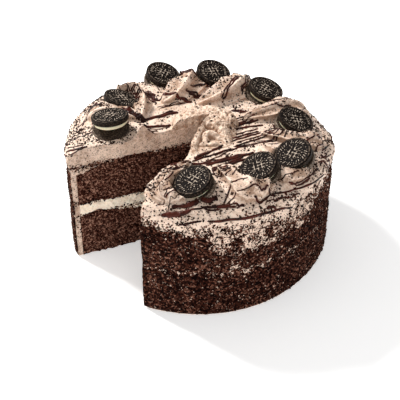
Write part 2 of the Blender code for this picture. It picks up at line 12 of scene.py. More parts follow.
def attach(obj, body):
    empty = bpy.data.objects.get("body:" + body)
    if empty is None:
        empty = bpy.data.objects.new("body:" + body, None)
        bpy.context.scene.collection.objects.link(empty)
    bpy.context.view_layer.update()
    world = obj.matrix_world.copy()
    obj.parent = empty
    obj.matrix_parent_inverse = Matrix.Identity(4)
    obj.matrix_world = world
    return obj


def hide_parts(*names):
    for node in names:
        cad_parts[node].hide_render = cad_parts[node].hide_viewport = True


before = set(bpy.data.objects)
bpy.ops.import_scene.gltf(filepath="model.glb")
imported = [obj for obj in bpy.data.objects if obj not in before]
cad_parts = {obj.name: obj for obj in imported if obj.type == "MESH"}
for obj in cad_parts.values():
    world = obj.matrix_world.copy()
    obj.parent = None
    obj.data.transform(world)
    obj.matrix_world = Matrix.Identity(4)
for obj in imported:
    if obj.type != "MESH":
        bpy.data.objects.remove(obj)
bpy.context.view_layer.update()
MM = 0.001


# The studio: a white floor that glows a little, a strong light behind the cake's left shoulder, two
# weak broad ones in front and an even white surround.  The camera looks down at 38 degrees.
TARGET = Vector((0.7, 0.0, 28.5)) * MM
DISTANCE = 812.8 * MM
ELEVATION = math.radians(38.4)

camera = bpy.data.objects.new("camera", bpy.data.cameras.new("camera"))
camera.data.sensor_width = 36.0
camera.data.lens = 91.1
camera.data.clip_start = 0.01
camera.location = TARGET + DISTANCE * Vector((0.0, -math.cos(ELEVATION), math.sin(ELEVATION)))
camera.rotation_euler = (TARGET - camera.location).to_track_quat("-Z", "Y").to_euler()
bpy.context.collection.objects.link(camera)
bpy.context.scene.camera = camera
bpy.context.scene.view_settings.view_transform = "Standard"

for name, place, size, watts, colour in (
    ("key_light", (-1.50, 1.20, 1.85), 0.42, 96.0, (1.0, 0.985, 0.96)),
    ("front_fill", (0.70, -2.2, 1.20), 1.6, 14.0, (1.0, 0.99, 0.98)),
    ("left_fill", (-2.0, -0.70, 1.0), 1.4, 3.5, (1.0, 0.99, 0.98)),
):
    lamp = bpy.data.lights.new(name, "AREA")
    lamp.size = size
    lamp.energy = watts
    lamp.color = colour
    light = bpy.data.objects.new(name, lamp)
    light.location = place
    light.rotation_euler = (Vector((0, 0, 0.05)) - Vector(place)).to_track_quat("-Z", "Y").to_euler()
    bpy.context.collection.objects.link(light)

surround = bpy.data.worlds.new("surround")
surround.use_nodes = True
surround.node_tree.nodes["Background"].inputs["Color"].default_value = (1.0, 1.0, 1.0, 1.0)
surround.node_tree.nodes["Background"].inputs["Strength"].default_value = 0.50
bpy.context.scene.world = surround


def xyz(x, y, z=0.0):
    """Points from their coordinates, given as arrays whose shapes fit together."""
    return np.stack(np.broadcast_arrays(x, y, z), axis=-1)


def cells(number):
    """The faces of a sheet of point numbers: each cell of four neighbours is one."""
    corners = (number[..., :-1, :-1], number[..., 1:, :-1], number[..., 1:, 1:], number[..., :-1, 1:])
    return np.stack([corner.ravel() for corner in corners], axis=1)


def object_from_grid(name, points, wrapped=False):
    """A mesh from rows of points: each cell of four neighbours is a face.  Wrapped, the last
    point of each row joins its first."""
    rows, columns = points.shape[:2]
    number = np.arange(rows * columns).reshape(rows, columns)
    if wrapped:
        number = np.hstack((number, number[:, :1]))
    return object_from_faces(name, points.reshape(-1, 3), cells(number))


def object_from_faces(name, points, faces, rounded=True):
    """A mesh object at the origin from points in metres and rows of point numbers."""
    mesh = bpy.data.meshes.new(name)
    sides = faces.shape[1]
    mesh.vertices.add(len(points))
    mesh.vertices.foreach_set("co", np.ascontiguousarray(points, dtype=np.float32).ravel())
    mesh.loops.add(faces.size)
    mesh.loops.foreach_set("vertex_index", np.ascontiguousarray(faces, dtype=np.int32).ravel())
    mesh.polygons.add(len(faces))
    mesh.polygons.foreach_set("loop_start", np.arange(0, faces.size, sides, dtype=np.int32))
    mesh.polygons.foreach_set("loop_total", np.full(len(faces), sides, dtype=np.int32))
    mesh.polygons.foreach_set("use_smooth", np.full(len(faces), rounded))
    mesh.update(calc_edges=True)
    mesh.validate()
    made = bpy.data.objects.new(name, mesh)
    bpy.context.collection.objects.link(made)
    return made


def colour_of(red, green, blue):
    """A colour as seen in the photograph, 0 to 255, as a linear colour for a shader."""
    seen = np.array((red, green, blue)) / 255.0
    linear = np.where(seen <= 0.04045, seen / 12.92, ((seen + 0.055) / 1.055) ** 2.4)
    return (*(float(part) for part in linear), 1.0)


class Link:
    """One socket of a material, so that its maths reads as plain sums."""

    def __init__(self, tree, socket=None):
        self.tree = tree
        self.socket = socket

    def node(self, kind, settings=None, values=None, output=0):
        """Adds a shader node: its settings first, then the values or links of its sockets."""
        made = self.tree.nodes.new("ShaderNode" + kind)
        for key, value in (settings or {}).items():
            if key == "stops":
                stops = made.color_ramp.elements
                while len(stops) < len(value):
                    stops.new(0.5)
                for element, (position, colour) in zip(stops, value):
                    element.position = position
                    element.color = colour_of(*colour)
            else:
                setattr(made, key, value)
        for key, value in (values or {}).items():
            if isinstance(value, Link):
                self.tree.links.new(value.socket, made.inputs[key])
            else:
                made.inputs[key].default_value = value
        return Link(self.tree, made.outputs[output])

    def maths(self, operation, first, second):
        return self.node("Math", {"operation": operation}, {0: first, 1: second})

    def __add__(self, other):
        return self.maths("ADD", self, other)

    def __radd__(self, other):
        return self.maths("ADD", other, self)

    def __sub__(self, other):
        return self.maths("SUBTRACT", self, other)

    def __rsub__(self, other):
        return self.maths("SUBTRACT", other, self)

    def __mul__(self, other):
        return self.maths("MULTIPLY", self, other)

    def __rmul__(self, other):
        return self.maths("MULTIPLY", other, self)

    def clamped(self):
        """This value, held between 0 and 1."""
        return self.node("Math", {"operation": "ADD", "use_clamp": True}, {0: self, 1: 0.0})

    def between(self, low, high):
        """0 below low, 1 above high and a smooth rise between them."""
        return self.node("MapRange", {"interpolation_type": "SMOOTHSTEP"},
                         {"Value": self, "From Min": low, "From Max": high})


def new_finish(name, roughness, **constants):
    """A material with its Principled shader, and the piece's Object coordinates to build on."""
    material = bpy.data.materials.new(name)
    material.use_nodes = True
    shader = material.node_tree.nodes["Principled BSDF"]
    shader.inputs["Roughness"].default_value = roughness
    for key, value in constants.items():
        shader.inputs[key.replace("_", " ")].default_value = value
    place = Link(material.node_tree).node("TexCoord", output=3)
    return material, shader, place


def feed(shader, socket, link):
    """Links a value or colour to a socket of the shader."""
    link.tree.links.new(link.socket, shader.inputs[socket])


def noise(place, scale, detail=2.0, roughness=0.5, output=0):
    """Cloudy noise over the coordinates: a value from output 0, a colour from output 1."""
    values = {"Vector": place, "Scale": scale, "Detail": detail, "Roughness": roughness}
    return place.node("TexNoise", values=values, output=output)


floor_side = np.linspace(-3.0, 3.0, 25)   # metres
floor = object_from_grid("floor", xyz(floor_side[:, None], floor_side))
floor_finish, floor_shader, floor_place = new_finish("white_paper", 0.9, Emission_Strength=0.36)
floor_tones = {0: noise(floor_place, 6.0) * 0.5, 6: (0.99, 0.99, 0.99, 1), 7: (0.96, 0.96, 0.96, 1)}
feed(floor_shader, "Base Color", floor_place.node("Mix", {"data_type": "RGBA"}, floor_tones, output=2))
floor.data.materials.append(floor_finish)


# The chocolate sponge: two baked layers, cut with a knife where the slice was taken.  The cut
# is open and crumbly, and each layer's top is uneven and torn a little by the cream on it.
SLICE_POINT = np.array((8.0, 3.6)) * MM   # where the two cuts meet, and the cuts' directions
SLICE_FROM = math.radians(200.5)
SLICE_TO = math.radians(243.5)
SPONGE_RADIUS = 97.2 * MM
TOP_HEIGHT = 101.5 * MM
# The layers' tops by radius and height in mm, then the rim's drop by direction in degrees.
LOWER_SPONGE_TOP = ((0, 34.0), (49, 35.2), (64, 38.3), (78, 41.0), (86, 42.0), (92, 40.6), (97, 40.3))
FILLING_TOP = ((0, 50.0), (49, 49.8), (57, 50.3), (64, 49.4), (72, 50.4), (77, 49.2), (84, 52.6), (91, 50.1),
               (97, 50.1))
UPPER_SPONGE_TOP = ((0, 82.5), (33, 85.5), (51, 87.4), (61, 86.8), (68, 85.2), (81, 83.4), (89, 81),
                    (96, 78.8), (97.2, 77.5))
RIM_DROP = ((0, 4), (14, 12), (40, 14), (90, 12), (140, 12), (160, 10), (175, 7), (187, 2),
            (200, 0), (235, 0), (270, 3), (320, 3), (345, 1), (360, 4))
SLOPE = 0.07
SLOPES_TOWARDS = math.radians(55)
SLOPES_ABOVE = 55.0 * MM
RIM_STARTS = 65.0 * MM
RIM_WIDTH = 36.0 * MM
WAIST = 46.0 * MM


def unit(value):
    """The value, held between 0 and 1."""
    return np.clip(value, 0.0, 1.0)


def smooth(part):
    """A share from 0 to 1 that starts and ends softly: three times its square less twice its cube."""
    return part * part * (3.0 - 2.0 * part)


def grain(places, size, seed, layers=1):
    """Smooth random heights from -1 to 1: random numbers at the corners of cubes of that size,
    blended smoothly between them, with finer layers added at half the size and height."""
    draw = np.random.default_rng(seed)
    table = draw.uniform(-1.0, 1.0, (32, 32, 32))
    total = np.zeros(places.shape[:-1])
    for layer in range(layers):
        scaled = places * (2.0 ** layer / size) + 7.3 * layer
        whole = np.floor(scaled)
        part = smooth(scaled - whole)
        low = whole.astype(np.int64) & 31
        high = (low + 1) & 31
        for corner in range(8):
            picks = [(high if corner >> axis & 1 else low)[..., axis] for axis in range(3)]
            shares = [part[..., axis] if corner >> axis & 1 else 1.0 - part[..., axis] for axis in range(3)]
            total += table[picks[0], picks[1], picks[2]] * shares[0] * shares[1] * shares[2] * 0.5 ** layer
    return total


def knots(table, where, blur=0.0):
    """Height in metres over a place in metres along a table in millimetres, with its corners eased."""
    xs, ys = np.array(table, dtype=float).T
    steps = np.linspace(-blur, blur, 5) if blur else (0.0,)
    return sum(np.interp(np.abs(where / MM + step), xs, ys) for step in steps) / len(steps) * MM


def round_the_cake(table, azimuth):
    """A table's value in each direction from the axis, the table's directions in degrees."""
    return np.interp(np.degrees(azimuth) % 360.0, *np.array(table, dtype=float).T)


def polar(radius, azimuth, z=0.0):
    """Points at a radius and a direction from the axis: radius times cosine and sine, and z."""
    return xyz(radius * np.cos(azimuth), radius * np.sin(azimuth), z)


def settle(x, y, z):
    """How the cake has settled: the cap slopes down away from the viewer and drops at its rim,
    the side waves a little, and it draws in at the height of the filling."""
    radius = np.hypot(x, y)
    azimuth = np.arctan2(y, x)
    upper = np.clip((z - SLOPES_ABOVE) / (TOP_HEIGHT - SLOPES_ABOVE), 0.0, None) ** 1.5
    along = np.maximum(0.0, x * math.cos(SLOPES_TOWARDS) + y * math.sin(SLOPES_TOWARDS))
    rim = unit((radius - RIM_STARTS) / RIM_WIDTH) ** 2
    sunk = z - upper * (SLOPE * along + round_the_cake(RIM_DROP, azimuth) * MM * rim)
    wave = 0.6 * MM * np.sin(3 * azimuth + 1.0) * np.sin(np.pi * unit(z / TOP_HEIGHT))
    side = 0.5 * MM * np.sin(2 * azimuth + 0.6) + 0.35 * MM * np.sin(5 * azimuth + 2.0)
    side = side - 0.9 * MM * np.exp(-((z - WAIST) / (6.0 * MM)) ** 2)
    return polar(radius + unit(radius / (100.0 * MM)) ** 4 * side, azimuth, sunk + wave)


def fan(count):
    """Directions from the slice's point all round the cake, from one cut face to the other."""
    turn = np.linspace(SLICE_TO, SLICE_FROM + 2 * math.pi, count)
    return np.stack((np.cos(turn), np.sin(turn)), axis=-1)


def from_point(directions, way):
    """x and y that far from the slice's point, one row for each direction."""
    return [SLICE_POINT[axis] + directions[:, None, axis] * way for axis in (0, 1)]


def reach(directions, radius):
    """Distance from the slice's point to a circle of that radius about the axis."""
    along = directions @ SLICE_POINT
    return np.sqrt(along ** 2 + radius ** 2 - SLICE_POINT @ SLICE_POINT) - along


def block(name, points, tear, tear_size, seed, hollow=None):
    """A closed body from a three way grid of points: direction, way out, inside to outside.

    Only its outer faces are made.  The first and last direction are the cut faces, and they are
    torn: moved in and out of their plane by a random height.
    """
    turns, outs, deep = points.shape[:3]
    for side, away in ((0, SLICE_TO), (turns - 1, SLICE_FROM)):
        face = points[side]
        far = np.hypot(face[..., 0] - SLICE_POINT[0], face[..., 1] - SLICE_POINT[1])
        rough = grain(face, tear_size, seed + side % 7, layers=3)
        pits = np.minimum(0.0, grain(face, 1.6 * tear_size, seed + 3 + side % 7, layers=2) + 0.25)
        depth = (tear * rough + 2.0 * tear * pits) * unit(far / (6 * MM))
        outward = (math.sin(away), -math.cos(away)) if side == 0 else (-math.sin(away), math.cos(away))
        face[..., :2] += depth[..., None] * outward
    number = np.arange(points.size // 3).reshape(turns, outs, deep)
    number[:, 0, :] = number[0, 0, :]
    sheets = (number[0].T, number[-1], number[:, -1, :], number[:, :, 0], number[:, :, -1].T)
    faces = np.vstack([cells(sheet) for sheet in sheets])
    used, faces_used = np.unique(faces, return_inverse=True)
    made = object_from_faces(name, points.reshape(-1, 3)[used], faces_used.reshape(faces.shape))
    give_values(made, "cut", np.isin(used, (number[0], number[-1])))
    # Painted shade for the finish, where the body has it.
    if hollow is not None:
        give_values(made, "hollow", hollow.reshape(-1)[used])
    outwards(made)
    return made


def give_values(piece, name, values):
    """Keeps one number for each point of the piece, for its finish to read."""
    held = piece.data.attributes.new(name, "FLOAT", "POINT")
    held.data.foreach_set("value", np.ascontiguousarray(values, dtype=np.float32).ravel())


def outwards(piece):
    """Merges coincident points, drops faces without area and turns all faces outwards."""
    shape = bmesh.new()
    shape.from_mesh(piece.data)
    bmesh.ops.remove_doubles(shape, verts=shape.verts, dist=1e-6)
    bmesh.ops.dissolve_degenerate(shape, edges=shape.edges, dist=1e-7)
    bmesh.ops.recalc_face_normals(shape, faces=shape.faces)
    shape.to_mesh(piece.data)
    shape.free()


def layer_block(name, bottom, top, outs, deep, tear, tear_size, seed, turns=72):
    """A layer of the cake between two height functions of the place, out to the sponge's edge."""
    directions = fan(turns)
    share = np.linspace(0.0, 1.0, outs) ** 0.97
    x, y = from_point(directions, reach(directions, SPONGE_RADIUS)[:, None] * share)
    low = bottom(x, y)[..., None]
    high = top(x, y)[..., None]
    z = low + (high - low) * np.linspace(0.0, 1.0, deep)
    return block(name, settle(x[..., None], y[..., None], z), tear, tear_size, seed)


def floor_level(x, y):
    """Height 0 at every place."""
    return 0 * x


def torn_top(table, blur, height, size, seed):
    """A layer's top as a function of the place: its table by the radius, and a torn grain on it
    of that height and size in mm."""
    def level(x, y):
        torn = grain(xyz(x, y), size * MM, seed, layers=3)
        return knots(table, np.hypot(x, y), blur) + height * MM * torn
    return level


def blend(share, first, second):
    """The first colour where the share is 0, the second where it is 1; each a link or as seen."""
    first, second = (side if isinstance(side, Link) else colour_of(*side) for side in (first, second))
    return share.node("Mix", {"data_type": "RGBA"}, {0: share, 6: first, 7: second}, output=2)


def ramp(value, *stops):
    """A colour for each value, between stops of a position and a colour as seen."""
    return value.node("ValToRGB", {"stops": stops}, {0: value})


def bump(height, strength, distance):
    """The surface's direction, tilted by a height."""
    return height.node("Bump", values={"Height": height, "Strength": strength, "Distance": distance})


def sponge_finish():
    """Dark cocoa crumb: cells of unlike browns, dark pores, and a rough broken relief."""
    material, shader, place = new_finish("chocolate_sponge", 0.95, Specular_IOR_Level=0.03)
    crumb_cells = place.node("TexVoronoi", values={"Vector": place, "Scale": 950.0}, output=1)
    tone = crumb_cells.node("SeparateColor", values={"Color": crumb_cells})
    broad = noise(place, 110.0, 5.0, 0.7)
    fine = noise(place, 900.0, 4.0, 0.7)
    crumb = ramp(tone * 0.44 + broad * 0.30 + fine * 0.66 - 0.12, (0.34, (22, 5, 2)),
                 (0.49, (50, 23, 16)), (0.63, (84, 50, 39)), (0.80, (160, 120, 102)))
    pores = (1.0 - fine.between(0.34, 0.42)) * 0.85
    feed(shader, "Base Color", blend(pores, crumb, (20, 5, 2)))
    feed(shader, "Normal", bump(fine * 0.7 + tone * 0.5, 0.9, 0.9 * MM))
    return material


sponge = sponge_finish()
lower_sponge_top = torn_top(LOWER_SPONGE_TOP, blur=3.0, height=1.2, size=2.8, seed=11)
filling_top = torn_top(FILLING_TOP, blur=2.0, height=1.1, size=3.0, seed=12)
upper_sponge_top = torn_top(UPPER_SPONGE_TOP, blur=3.0, height=1.3, size=2.4, seed=13)
sponges = []
for name, bottom, top, deep, seed, node in (
    ("sponge_lower_layer", floor_level, lower_sponge_top, 78, 21, "sponge_bottom"),
    ("sponge_upper_layer", filling_top, upper_sponge_top, 74, 27, "sponge_top"),
):
    layer = layer_block(name, bottom, top, outs=200, deep=deep, tear=0.75 * MM, tear_size=2.2 * MM, seed=seed)
    layer.data.materials.append(sponge)
    sponges.append(layer)
    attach(layer, "root")
    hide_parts(node)


# The filling: a layer of cookies and cream icing between the sponges, spread with a spatula and
# dragged a little by the knife, with a few dark specks of cookie in it.
def held_value(place, name):
    """The number that give_values has kept for each point."""
    return place.node("Attribute", {"attribute_name": name}, output=2)


def cream_finish(name, light, deep, specks, speck_share, smear=1.0):
    """Whipped cream with ground cookie: soft mottling, fine bubbles and scattered dark specks.

    The knife has left the cut faces, marked by the attribute 'cut', a little darker.  The cream in
    folds, furrows and on steep slopes is darkened towards the deep colour by a second attribute:
    painted shade.  Elsewhere the deep colour comes only from random mottling.
    """
    material, shader, place = new_finish(
        name, 0.55, Specular_IOR_Level=0.25, Subsurface_Weight=0.12,
        Subsurface_Radius=(1.0, 0.6, 0.4), Subsurface_Scale=1.5 * MM)
    broad = noise(place, 70.0, 4.0, 0.6)
    fine = noise(place, 800.0, 3.0, 0.7)
    pits = noise(place, 380.0, 4.0, 0.7)
    cut = held_value(place, "cut") * smear
    tone = (broad * 0.5 + fine * 0.4 + pits * 0.5).between(0.50, 0.78)
    # Painted shade: folds, furrows and steep slopes are pulled towards the deep colour.
    tone = tone - cut * 0.27 - held_value(place, "hollow") * 0.75
    base = blend(tone.clamped(), deep, light)
    base = blend(fine.between(0.52, 0.60) * cut * 0.62, base, specks)
    warped = place.node("VectorMath", {"operation": "MULTIPLY_ADD"}, {
        0: noise(place, 500.0, output=1), 1: (0.0012, 0.0012, 0.0012), 2: place})
    for scale, width in ((240.0, 0.16), (420.0, 0.13)):
        near, pick = (place.node("TexVoronoi", values={"Vector": warped, "Scale": scale}, output=output)
                      for output in (0, 1))
        chosen = pick.node("SeparateColor", values={"Color": pick}) + cut * 0.12
        chosen = chosen.between(0.99 - speck_share, 1.01 - speck_share)
        mask = (1.0 - near.between(0.6 * width, width)) * chosen
        base = blend(mask * 0.92, base, specks)
    feed(shader, "Base Color", base)
    feed(shader, "Roughness", fine * 0.25 + 0.42)
    feed(shader, "Normal", bump(fine * 0.5 + pits + broad * 0.4, 0.75, 0.9 * MM))
    return material


filling_layer = layer_block(
    "filling_layer", lower_sponge_top, filling_top, outs=170, deep=26,
    tear=0.55 * MM, tear_size=2.6 * MM, seed=33)
filling_layer.data.materials.append(cream_finish(
    "filling_cream", (255, 243, 224), (244, 218, 192), (96, 62, 44), speck_share=0.12, smear=0.3))
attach(filling_layer, "root")
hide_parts("filling")


# The icing: one body of whipped cookies and cream, a thick cap spread over the upper sponge and
# a thin coat brought down its side.  The cap's rim is soft and uneven from the spatula.
CREAM = (238, 213, 194)
GROUND_COOKIE = (58, 27, 18)
CAP_TOP = ((0, 101.5), (42, 101.5), (70, 101.6), (86, 100.6), (95, 99), (99.6, 97.4), (102.2, 93.5))
INSIDE_HEIGHT = ((0.60, 77.5), (0.70, 66.0), (1, 0))
OUTSIDE_RADIUS = ((0, 0), (0.57, 97.0), (0.605, 99.9), (0.64, 102.2), (0.68, 102.6), (0.72, 101.2),
                  (0.8, 101.0), (1, 101.0))
OUTSIDE_HEIGHT = ((0.605, 97.3), (0.64, 93.5), (0.68, 88.0), (0.72, 81.0), (1, 0))
SHOULDER = 97.0 * MM
INSIDE_EDGE = 0.60   # the inside and the outside leave the top at these shares of their way down
OUTSIDE_EDGE = 0.57


def by_share(table, share):
    """A table's value in metres at each share of the way from the point to the floor."""
    xs, ys = np.array(table, dtype=float).T
    return np.interp(share, xs, ys) * MM


def even_cap(x, y):
    """Height of the cap's top by the radius, before it settles."""
    return knots(CAP_TOP, np.hypot(x, y), blur=1.5)


def cap_level(x, y):
    """Height of the cap's top at a place, settled and with the marks of the spatula.

    The fold beside the first cookie is the end of its shell, cut through with the slice.
    """
    where = xyz(x, y)
    marks = 0.45 * MM * grain(where, 9 * MM, 41, layers=2) + 0.25 * MM * grain(where, 3 * MM, 42, layers=2)
    fold = 11.0 * MM * np.exp(-((x / MM + 45) / 6.0) ** 2 - ((y / MM + 16) / 7.0) ** 2)
    marks = marks * np.clip(np.hypot(x, y) / (20 * MM), 0.3, 1.0)
    return settle(x, y, even_cap(x, y))[..., 2] + marks + fold


def drawn_back(points):
    """Cream above the sponge dragged one way by the knife, most of it half way out: back from the
    near cut's edge, and on the far cut out over the sponge."""
    out = np.array((math.cos(SLICE_TO), math.sin(SLICE_TO)))
    across = np.array((-math.sin(SLICE_TO), math.cos(SLICE_TO)))
    local = points[..., :2] - SLICE_POINT
    inside = local @ across / MM
    shift = np.interp(local @ out / MM, (18, 31, 43, 55, 62, 70), (0, 1.0, 4.1, 5.7, 1.5, 0)) * MM
    shift = shift * unit((points[..., 2] / MM - 86) / 9) * unit(1 - inside / 16)
    moved = points.copy()
    moved[..., :2] += shift[..., None] * across
    return moved


def icing_body():
    """From the slice's point out over the sponge, round its edge and down to the floor: the
    inside follows the sponge, the outside the cap's top, shoulder and side."""
    turns, outs, deep = 186, 206, 34
    directions = fan(turns)
    share = np.linspace(0.0, 1.0, outs)
    beyond = share > OUTSIDE_EDGE
    way = reach(directions, SPONGE_RADIUS)[:, None] * np.minimum(1.0, share / INSIDE_EDGE)
    x, y = from_point(directions, way)
    z = np.where(share < INSIDE_EDGE, upper_sponge_top(x, y), by_share(INSIDE_HEIGHT, share))
    inner = settle(x, y, z)
    way = reach(directions, SHOULDER)[:, None] * np.minimum(1.0, share / OUTSIDE_EDGE)
    x, y = from_point(directions, way)
    grown = np.maximum(1.0, by_share(OUTSIDE_RADIUS, share) / np.hypot(x, y).clip(1e-6)) ** beyond
    x, y = x * grown, y * grown
    z = np.where(share < OUTSIDE_HEIGHT[0][0], even_cap(x, y), by_share(OUTSIDE_HEIGHT, share))
    outer = settle(x, y, z)
    top_part = unit((0.66 - share) / 0.06)
    lumps = grain(outer, 11 * MM, 43, layers=3) * np.exp(-((share - 0.65) / 0.05) ** 2) * 0.8 * MM
    side_marks = (0.35 * MM * grain(outer, 5 * MM, 44, layers=2) * (1 - top_part) + lumps) * beyond
    outer[..., :2] *= 1 + (side_marks / np.hypot(outer[..., 0], outer[..., 1]).clip(1e-6))[..., None]
    outer[..., 2] += (cap_level(x, y) - settle(x, y, even_cap(x, y))[..., 2]) * top_part
    level = np.linspace(0.0, 1.0, deep)[:, None]
    points = inner[..., None, :] * (1 - level) + outer[..., None, :] * level
    return block("icing_cap_and_coat", drawn_back(points), tear=0.30 * MM, tear_size=3.0 * MM, seed=47)


icing = icing_body()
icing.data.materials.append(
    cream_finish("cookies_and_cream", CREAM, (174, 144, 123), GROUND_COOKIE, speck_share=0.38))
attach(icing, "root")
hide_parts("icing")


# The crumb coat: dark cake crumbs pressed by hand into the icing's side, dense at the foot and
# thinning out in a ragged edge below the rim.  A rough skin first, then single crumbs on it.
SKIN_TOP = 80.0 * MM
PRESSED_CRUMBS = 66000   # as many are tried, and fewer stay
# By direction in degrees: the share of SKIN_TOP that the skin reaches, then heights in mm.
CRUMB_REACH = ((0, 0.87), (90, 0.90), (170, 0.90), (200, 0.88), (235, 0.96), (250, 1.0), (290, 1.0),
               (312, 0.97), (340, 0.90), (360, 0.87))
CRUMBS_DENSE_TO = ((0, 58), (90, 66), (170, 70), (200, 72), (243, 78), (253, 76), (262, 71), (272, 64),
                   (278, 38), (284, 38), (292, 40), (300, 44), (308, 56), (316, 54), (326, 58), (332, 70),
                   (338, 68), (345, 60), (360, 58))
CRUMBS_END_AT = ((0, 80), (90, 80), (170, 82), (200, 84), (243, 92), (253, 92), (262, 94), (272, 96),
                 (278, 94), (284, 90), (292, 92), (300, 94), (308, 92), (316, 92), (326, 93), (332, 92),
                 (338, 85), (345, 80), (360, 80))


def crumb_cover(azimuth, z):
    """Share of the icing hidden by crumbs: 1 where they are dense, 0 above their ragged end."""
    dense = round_the_cake(CRUMBS_DENSE_TO, azimuth) * MM
    end = round_the_cake(CRUMBS_END_AT, azimuth) * MM
    place = polar(102.0 * MM, azimuth, z)
    clumps = grain(place, 9 * MM, 55, layers=3) + 0.75 * grain(place, 3.4 * MM, 56)
    crease = 0.40 * np.exp(-((z / MM - 41 - 0.8 * clumps) / 1.8) ** 2)
    return unit((end - z) / (end - dense) + 0.08 + 0.50 * clumps) - crease


def crumb_skin():
    """A closed band round the side from one cut to the other: outside rough, inside on the icing."""
    around, up = 520, 72
    azimuth = np.linspace(SLICE_TO + 0.045, SLICE_FROM + 2 * math.pi - 0.005, around)[:, None]
    share = np.linspace(0.0, 1.0, up)
    edge = round_the_cake(CRUMB_REACH, azimuth) * SKIN_TOP
    ragged = grain(polar(100.0 * MM, azimuth), 4 * MM, 51, layers=3)
    z = 0.7 * MM + (edge - 0.7 * MM) * share + 2.2 * MM * ragged * share ** 3
    place = polar(102.3 * MM, azimuth, z)
    rough = 0.42 * grain(place, 2.3 * MM, 52, layers=2) + 0.30 * grain(place, 1.3 * MM, 53)
    thin = unit((1.0 - share) / 0.06) * unit(share / 0.02)
    crease = 0.7 * np.exp(-((z / MM - 40.0) / 1.6) ** 2)
    outer, inner = (settle(radius * MM * np.cos(azimuth), radius * MM * np.sin(azimuth), z)
                    for radius in (101.35 + (0.85 + rough - crease) * thin, 101.2))
    loop = np.concatenate((outer, inner[:, ::-1]), axis=1)
    skin = object_from_grid("crumb_skin", loop, wrapped=True)
    cover = crumb_cover(azimuth, z)
    give_values(skin, "cover", np.concatenate((cover, cover[:, ::-1]), axis=1))
    close_ends(skin, around, loop.shape[1])
    return skin


def close_ends(piece, rows, columns):
    """Closes the two ends of a tube made by a wrapped grid, each by one strip."""
    shape = bmesh.new()
    shape.from_mesh(piece.data)
    shape.verts.ensure_lookup_table()
    for first in (0, (rows - 1) * columns):
        for step in range(columns // 2 - 1):
            ring = (first + step, first + step + 1, first + columns - 2 - step, first + columns - 1 - step)
            shape.faces.new([shape.verts[number] for number in ring])
    bmesh.ops.recalc_face_normals(shape, faces=shape.faces)
    shape.to_mesh(piece.data)
    shape.free()


def crumb_finish(name, thinning, lighter=0.0):
    """Baked cocoa crumbs of unlike browns; where they thin out, cream shows in small clumps."""
    material, shader, place = new_finish(name, 0.9, Specular_IOR_Level=0.04)
    crumb_cells = place.node("TexVoronoi", values={"Vector": place, "Scale": 800.0}, output=1)
    tone, chance = (crumb_cells.node("SeparateColor", values={"Color": crumb_cells}, output=output)
                    for output in (0, 1))
    fine = noise(place, 900.0, 4.0, 0.7)
    broad = noise(place, 70.0, 4.0, 0.6)
    crumb = ramp(tone * 0.66 + fine * 0.66 + broad * 0.40 + (lighter - 0.39), (0.28, (12, 2, 1)),
                 (0.5, (38, 14, 8)), (0.70, (74, 40, 29)), (0.88, (146, 102, 84)))
    if thinning:
        clumps = noise(place, 170.0, 3.0, 0.6)
        dots = noise(place, 560.0, 3.0, 0.75)
        level = dots * 0.80 + clumps * 0.20 + chance * 0.16 - 0.08
        shows = (level - held_value(place, "cover") * 0.25 - 0.40).between(0.0, 0.025)
        crumb = blend(shows, crumb, (238, 210, 190))
    feed(shader, "Base Color", crumb)
    feed(shader, "Normal", bump(fine + tone * 0.6, 0.8, 0.8 * MM))
    return material


skin = crumb_skin()
skin.data.materials.append(crumb_finish("pressed_cake_crumbs", thinning=True))
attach(skin, "root")
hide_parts("crumb_coat")


def scattered_crumbs(name, places, sizes, seed):
    """Eight-sided lumps of those sizes at those places, each squashed and turned its own way."""
    corners = np.vstack((np.eye(3), -np.eye(3)))
    sides = np.array([(0, 1, 2), (1, 3, 2), (3, 4, 2), (4, 0, 2), (1, 0, 5), (3, 1, 5), (4, 3, 5), (0, 4, 5)])
    draw = np.random.default_rng(seed)
    count = len(places)
    axes = np.linalg.qr(draw.normal(size=(count, 3, 3)))[0]
    axes *= np.sign(np.linalg.det(axes))[:, None, None]
    shape = corners[None] * draw.uniform(0.7, 1.2, (count, 6, 1)) * draw.uniform(0.7, 1.2, (count, 1, 3))
    points = np.einsum("nij,nkj->nki", axes, shape) * sizes[:, None, None] + places[:, None, :]
    faces = sides[None] + 6 * np.arange(count)[:, None, None]
    return object_from_faces(name, points.reshape(-1, 3), faces.reshape(-1, 3), rounded=False)


RAYS_FROM = 200 * MM   # from the axis or the floor


def cast(bodies, starts, ways):
    """Where rays from the starts along the ways first meet the bodies, and the faces' normals.

    A ray that meets none gives its own start back.
    """
    ready = bpy.context.evaluated_depsgraph_get()
    trees = [BVHTree.FromObject(body, ready) for body in bodies]
    hits = []
    for start, way in zip(starts, np.broadcast_to(ways, starts.shape)):
        found = [tree.ray_cast(Vector(start), Vector(way)) for tree in trees]
        found = [hit for hit in found if hit[0] is not None]
        nearest = min(found, key=lambda hit: hit[3]) if found else (Vector(start), Vector(way), 0, 0.0)
        hits.append((*nearest[0], *nearest[1]))
    hits = np.array(hits)
    return hits[:, :3], hits[:, 3:]


